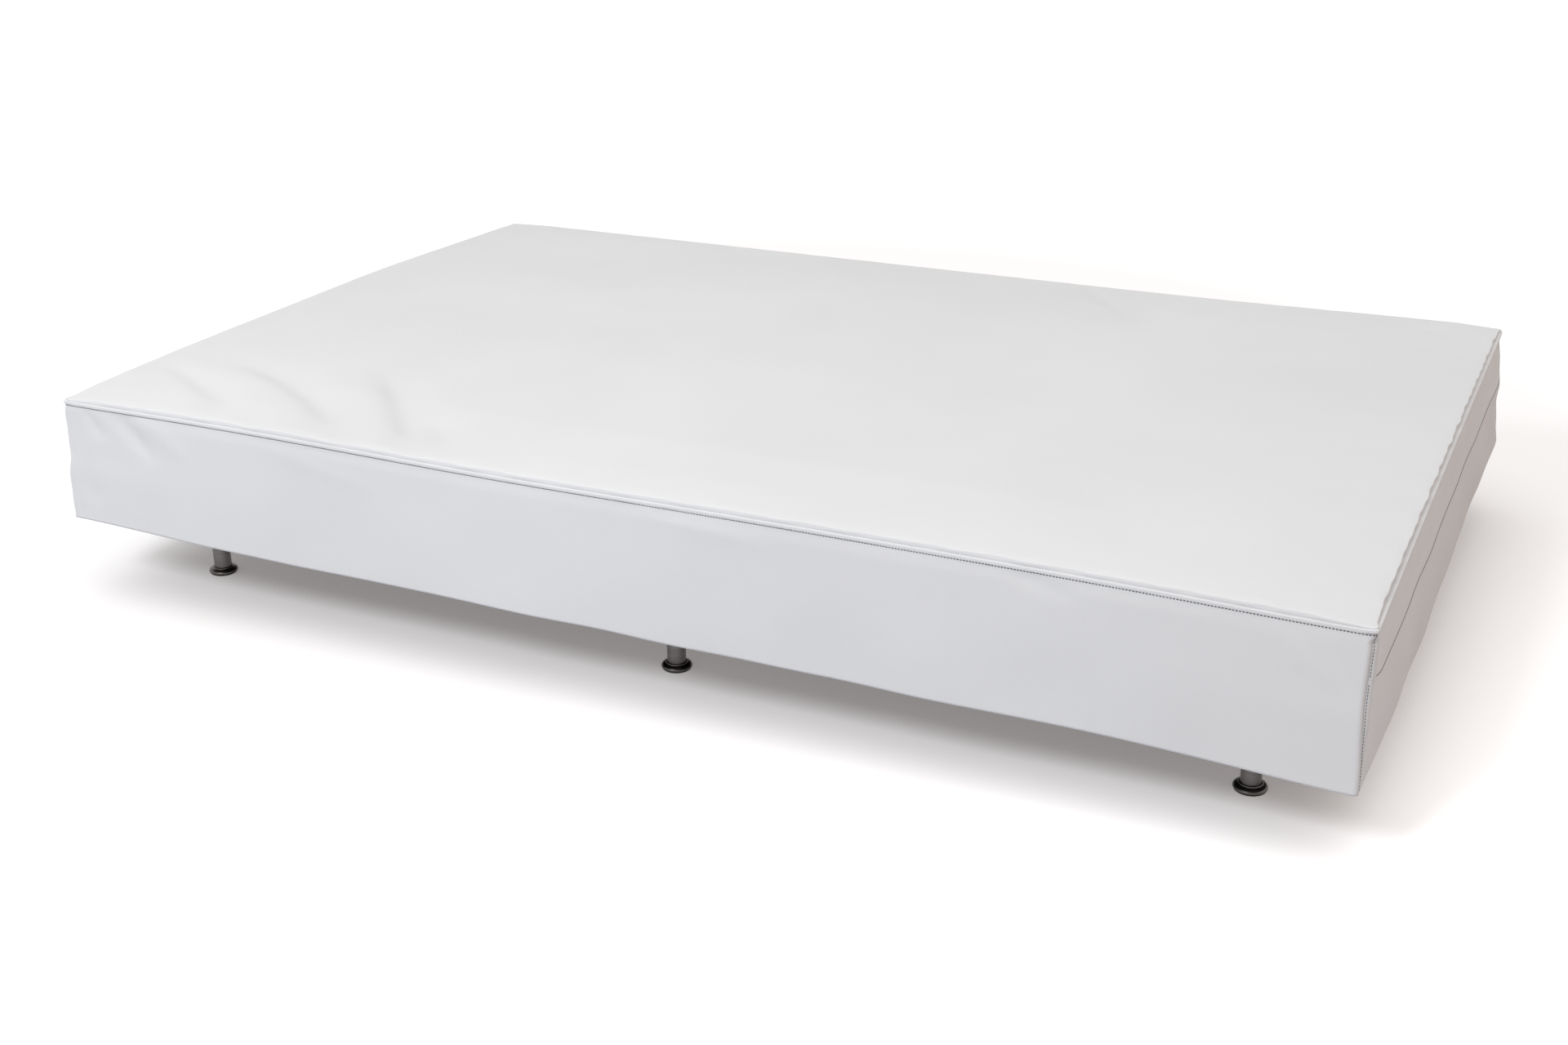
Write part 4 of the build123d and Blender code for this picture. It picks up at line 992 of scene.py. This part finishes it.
def leg_plate(x, y, top):
    """Fixing plate with rounded corners: rounded-square rings from its underside's middle to its top's."""
    sides = 48
    angle = np.linspace(0, 2 * math.pi, sides, endpoint=False)
    square = (np.abs(np.cos(angle)) ** 8 + np.abs(np.sin(angle)) ** 8) ** (-1 / 8)
    ring = np.stack([np.cos(angle) * square, np.sin(angle) * square], -1) * PLATE_HALF
    low, high = top - PLATE_THICKNESS, top - PLATE_GAP
    levels = [(0, low), (0.985, low), (1, low + PLATE_ROUND), (1, high), (0, high)]
    rows = [
        np.concatenate([ring * share + [x, y], np.full((sides, 1), height)], 1)
        for share, height in levels
    ]
    return np.stack(rows), quads(len(levels), sides, closed=True)


PLATE_TOP = frame_box("middle_front_leg")[1][2]
TUBE_TOP = PLATE_TOP - PLATE_THICKNESS
# Profiles of tube, foot disc and pad: (radius, height)
TUBE = rounded(
    [(0, 0.0113), (0.0140, 0.0113), (0.0140, TUBE_TOP - 0.0005), (0.0148, TUBE_TOP), (0, TUBE_TOP)],
    0.0006,
    4,
)
FOOT = rounded(
    [
        (0, 0.0030),
        (0.0222, 0.0030),
        (0.0230, 0.0036),
        (0.0230, 0.0054),
        (0.0212, 0.0078),
        (0.0178, 0.0090),
        (0.0160, 0.0098),
        (0.0158, 0.0112),
        (0.0136, 0.0113),
        (0.0, 0.0113),
    ],
    0.0012,
    6,
)
PAD = rounded([(0, 0.0), (0.0205, 0.0), (0.0218, 0.0010), (0.0218, 0.0030), (0, 0.0030)], 0.0008, 4)


def make_leg(place):
    """One leg: tube with fixing plate on the base, and the foot disc and pad that screw out of it."""
    low, high = frame_box(f"{place}_leg")
    x, y = (low[:2] + high[:2]) / 2
    tube = [turned(TUBE, x, y), leg_plate(x, y, PLATE_TOP)]
    foot = f"{place}_foot"
    for name, parts, body, kind, hidden in (
        (f"{place}_leg_tube", tube, "root", "brushed_steel_leg", f"{place}_leg"),
        (f"{foot}_disc", [turned(FOOT, x, y, 72)], foot, "satin_steel_foot", foot),
        (f"{foot}_pad", [turned(PAD, x, y, 72)], foot, "pad_rubber", f"{place}_pad"),
    ):
        make_piece(name, parts, finish[kind], body, (hidden,))


faces = make_cover()
make_base_foam()
make_topstitching(faces)
for column in ("left", "middle", "right"):
    for row in ("front", "back"):
        make_leg(f"{column}_{row}")


# Finishes of the frame's own nodes

FINISHED = {
    "pine_along": ["long_rails"],
    "pine_across": ["bearers", "end_rails"],
    "plywood": ["deck_board"],
    "black_dust_cloth": ["dust_cover"],
    "zinc_plated_steel": ["motor_bolts", "wood_screws"],
    "buffer_rubber": ["rubber_buffers"],
    "motor_casting": ["bearing_shields", "left_motor_housing", "motor_end_caps", "right_motor_housing"],
    "bearing_steel": ["ball_bearings", "left_rotor", "right_rotor"],
    "cast_iron_weight": ["left_eccentric_weights", "right_eccentric_weights"],
    "stator": ["stators"],
    "black_plastic": ["control_box", "intensity_knob", "mains_inlet", "power_rocker"],
    "grey_panel_plastic": ["control_panel", "zip_slider"],
    "circuit_board": ["circuit_board"],
    "black_lead": ["flex_lead", "wiring_loom"],
    "white_zip_tape": ["zip_tape"],
}
for kind, names in FINISHED.items():
    for name in names:
        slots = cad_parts[name].data.materials
        slots.clear()
        slots.append(finish[kind])


# Floor, light and camera

# Glow of the floor near the object and far from it, and the distances from the glow's middle
GLOW_NEAR, GLOW_FAR = 0.24, 1.0
GLOW_START, GLOW_END = 1.7, 3.4
# Strength of the sky at the horizon, and what the zenith adds
SKY_LOW, SKY_HIGH = 0.055, 1.585
LAMP_PLACE, LAMP_AIM = Vector((-0.60, -3.75, 3.05)), Vector((-0.85, -0.4, 0.2))
LAMP_SIZE, LAMP_POWER = 1.1, 76.5
CAMERA_PLACE, CAMERA_TURNS = (1.2284, -2.7515, 1.2876), (67.533, 0.249, 25.013)
FILM_WIDTH, LENS = 36, 44.05


def seen_by_camera(tree):
    """1 for rays that show the background itself: from the camera, or by way of metal or glass."""
    path = put(tree, "ShaderNodeLightPath")
    shown = maths(tree, "MAXIMUM", path.outputs["Is Camera Ray"], path.outputs["Is Glossy Ray"])
    return maths(tree, "MAXIMUM", shown, path.outputs["Is Transmission Ray"])


def floor_material():
    """Pale plain floor, so that only the object's shadow shows.

    For the camera it has its own colour, darkened by painted shadow to the left and to the back, and a weak
    glow that grows away from the object. What it throws back is cool at the front left and warm at the back
    right.
    """
    material = bpy.data.materials.new("pale_floor")
    material.use_nodes = True
    tree = material.node_tree
    tree.nodes.clear()
    place = object_place(tree)
    moved = put(tree, "ShaderNodeVectorMath", operation="ADD", in_0=place, in_1=(0.30, -0.25, 0.0))
    away = put(tree, "ShaderNodeVectorMath", operation="LENGTH", in_0=moved.outputs[0])
    glow = remap(tree, away.outputs["Value"], GLOW_START, GLOW_END, GLOW_NEAR, GLOW_FAR)
    spot = put(tree, "ShaderNodeSeparateXYZ", in_0=place)
    side = maths(tree, "MULTIPLY_ADD", spot.outputs[1], 0.7, spot.outputs[0])
    warmth = remap(tree, side, 0.3, 1.6, 0.0, 1.0)
    bounce = blend_colour(tree, warmth, (0.60, 0.612, 0.65), (0.65, 0.52, 0.45))
    # Painted shadow: the camera's floor colour is full at the front right and darker to the left and to the
    # back
    from_end = maths(tree, "SUBTRACT", spot.outputs[0], 0.75)
    across = maths(tree, "MULTIPLY_ADD", spot.outputs[1], -1.3, from_end)
    share = remap(tree, across, -1.0, 0.9, 0.0, 1.0)
    share = maths(tree, "MULTIPLY", share, share)
    painted_shadow_colour = blend_colour(tree, share, (0.904, 0.90, 0.896), (1.22, 1.215, 1.21))
    shown = seen_by_camera(tree)
    diffuse = put(tree, "ShaderNodeBsdfDiffuse", in_Color=blend_colour(tree, shown, bounce, painted_shadow_colour))
    glow = maths(tree, "MULTIPLY", shown, glow)
    lift = put(tree, "ShaderNodeEmission", in_Color=(1.0, 0.94, 0.92, 1), in_Strength=glow)
    both = put(tree, "ShaderNodeAddShader", in_0=diffuse.outputs[0], in_1=lift.outputs[0])
    put(tree, "ShaderNodeOutputMaterial", in_Surface=both.outputs[0])
    return material


def make_floor():
    """A wide plain floor under the object."""
    half = 30
    mesh = bpy.data.meshes.new("floor")
    corners = [(-half, -half, 0), (half, -half, 0), (half, half, 0), (-half, half, 0)]
    mesh.from_pydata(corners, [], [(0, 1, 2, 3)])
    mesh.materials.append(floor_material())
    floor = bpy.data.objects.new("floor", mesh)
    bpy.context.scene.collection.objects.link(floor)


def make_lamp():
    """A round softbox at the front left, above the camera."""
    data = bpy.data.lights.new("front_softbox", "AREA")
    data.shape, data.size, data.energy = "DISK", LAMP_SIZE, LAMP_POWER
    data.color = (0.95, 0.968, 1.0)
    lamp = bpy.data.objects.new("front_softbox", data)
    lamp.location = LAMP_PLACE
    lamp.rotation_euler = (LAMP_PLACE - LAMP_AIM).to_track_quat("Z", "Y").to_euler()
    bpy.context.scene.collection.objects.link(lamp)


def make_world():
    """A studio sky: brightest overhead, weaker behind, warmer at the right, and white for the camera."""
    world = bpy.data.worlds.new("studio")
    bpy.context.scene.world = world
    world.use_nodes = True
    tree = world.node_tree
    tree.nodes.clear()
    direction = put(tree, "ShaderNodeTexCoord").outputs["Generated"]
    towards = put(tree, "ShaderNodeSeparateXYZ", in_0=direction)
    shown = seen_by_camera(tree)
    warmth = remap(tree, towards.outputs[0], 0.15, 0.9, 0.0, 1.0)
    air = blend_colour(tree, warmth, (0.985, 0.99, 1.0), (1.0, 0.845, 0.765))
    upward = maths(tree, "MAXIMUM", towards.outputs[2], 0.0)
    from_front = remap(tree, towards.outputs[1], 0.0, 1.0, 1.0, 0.5)
    dome = maths(tree, "MULTIPLY", maths(tree, "MULTIPLY", upward, upward), from_front)
    soft = maths(tree, "MULTIPLY_ADD", dome, SKY_HIGH, SKY_LOW)
    colour = blend_colour(tree, shown, air, (1.0, 1.0, 1.0))
    strength = maths(tree, "MAXIMUM", soft, shown)
    sky = put(tree, "ShaderNodeBackground", in_Color=colour, in_Strength=strength)
    put(tree, "ShaderNodeOutputWorld", in_Surface=sky.outputs[0])


def make_camera():
    """The camera at the photograph's place and angle."""
    data = bpy.data.cameras.new("camera")
    data.sensor_width, data.lens = FILM_WIDTH, LENS
    camera = bpy.data.objects.new("camera", data)
    camera.location = CAMERA_PLACE
    camera.rotation_euler = [math.radians(turn) for turn in CAMERA_TURNS]
    bpy.context.scene.collection.objects.link(camera)
    bpy.context.scene.camera = camera


make_floor()
make_lamp()
make_world()
make_camera()
bpy.context.scene.view_settings.view_transform = "Standard"

bpy.context.view_layer.update()
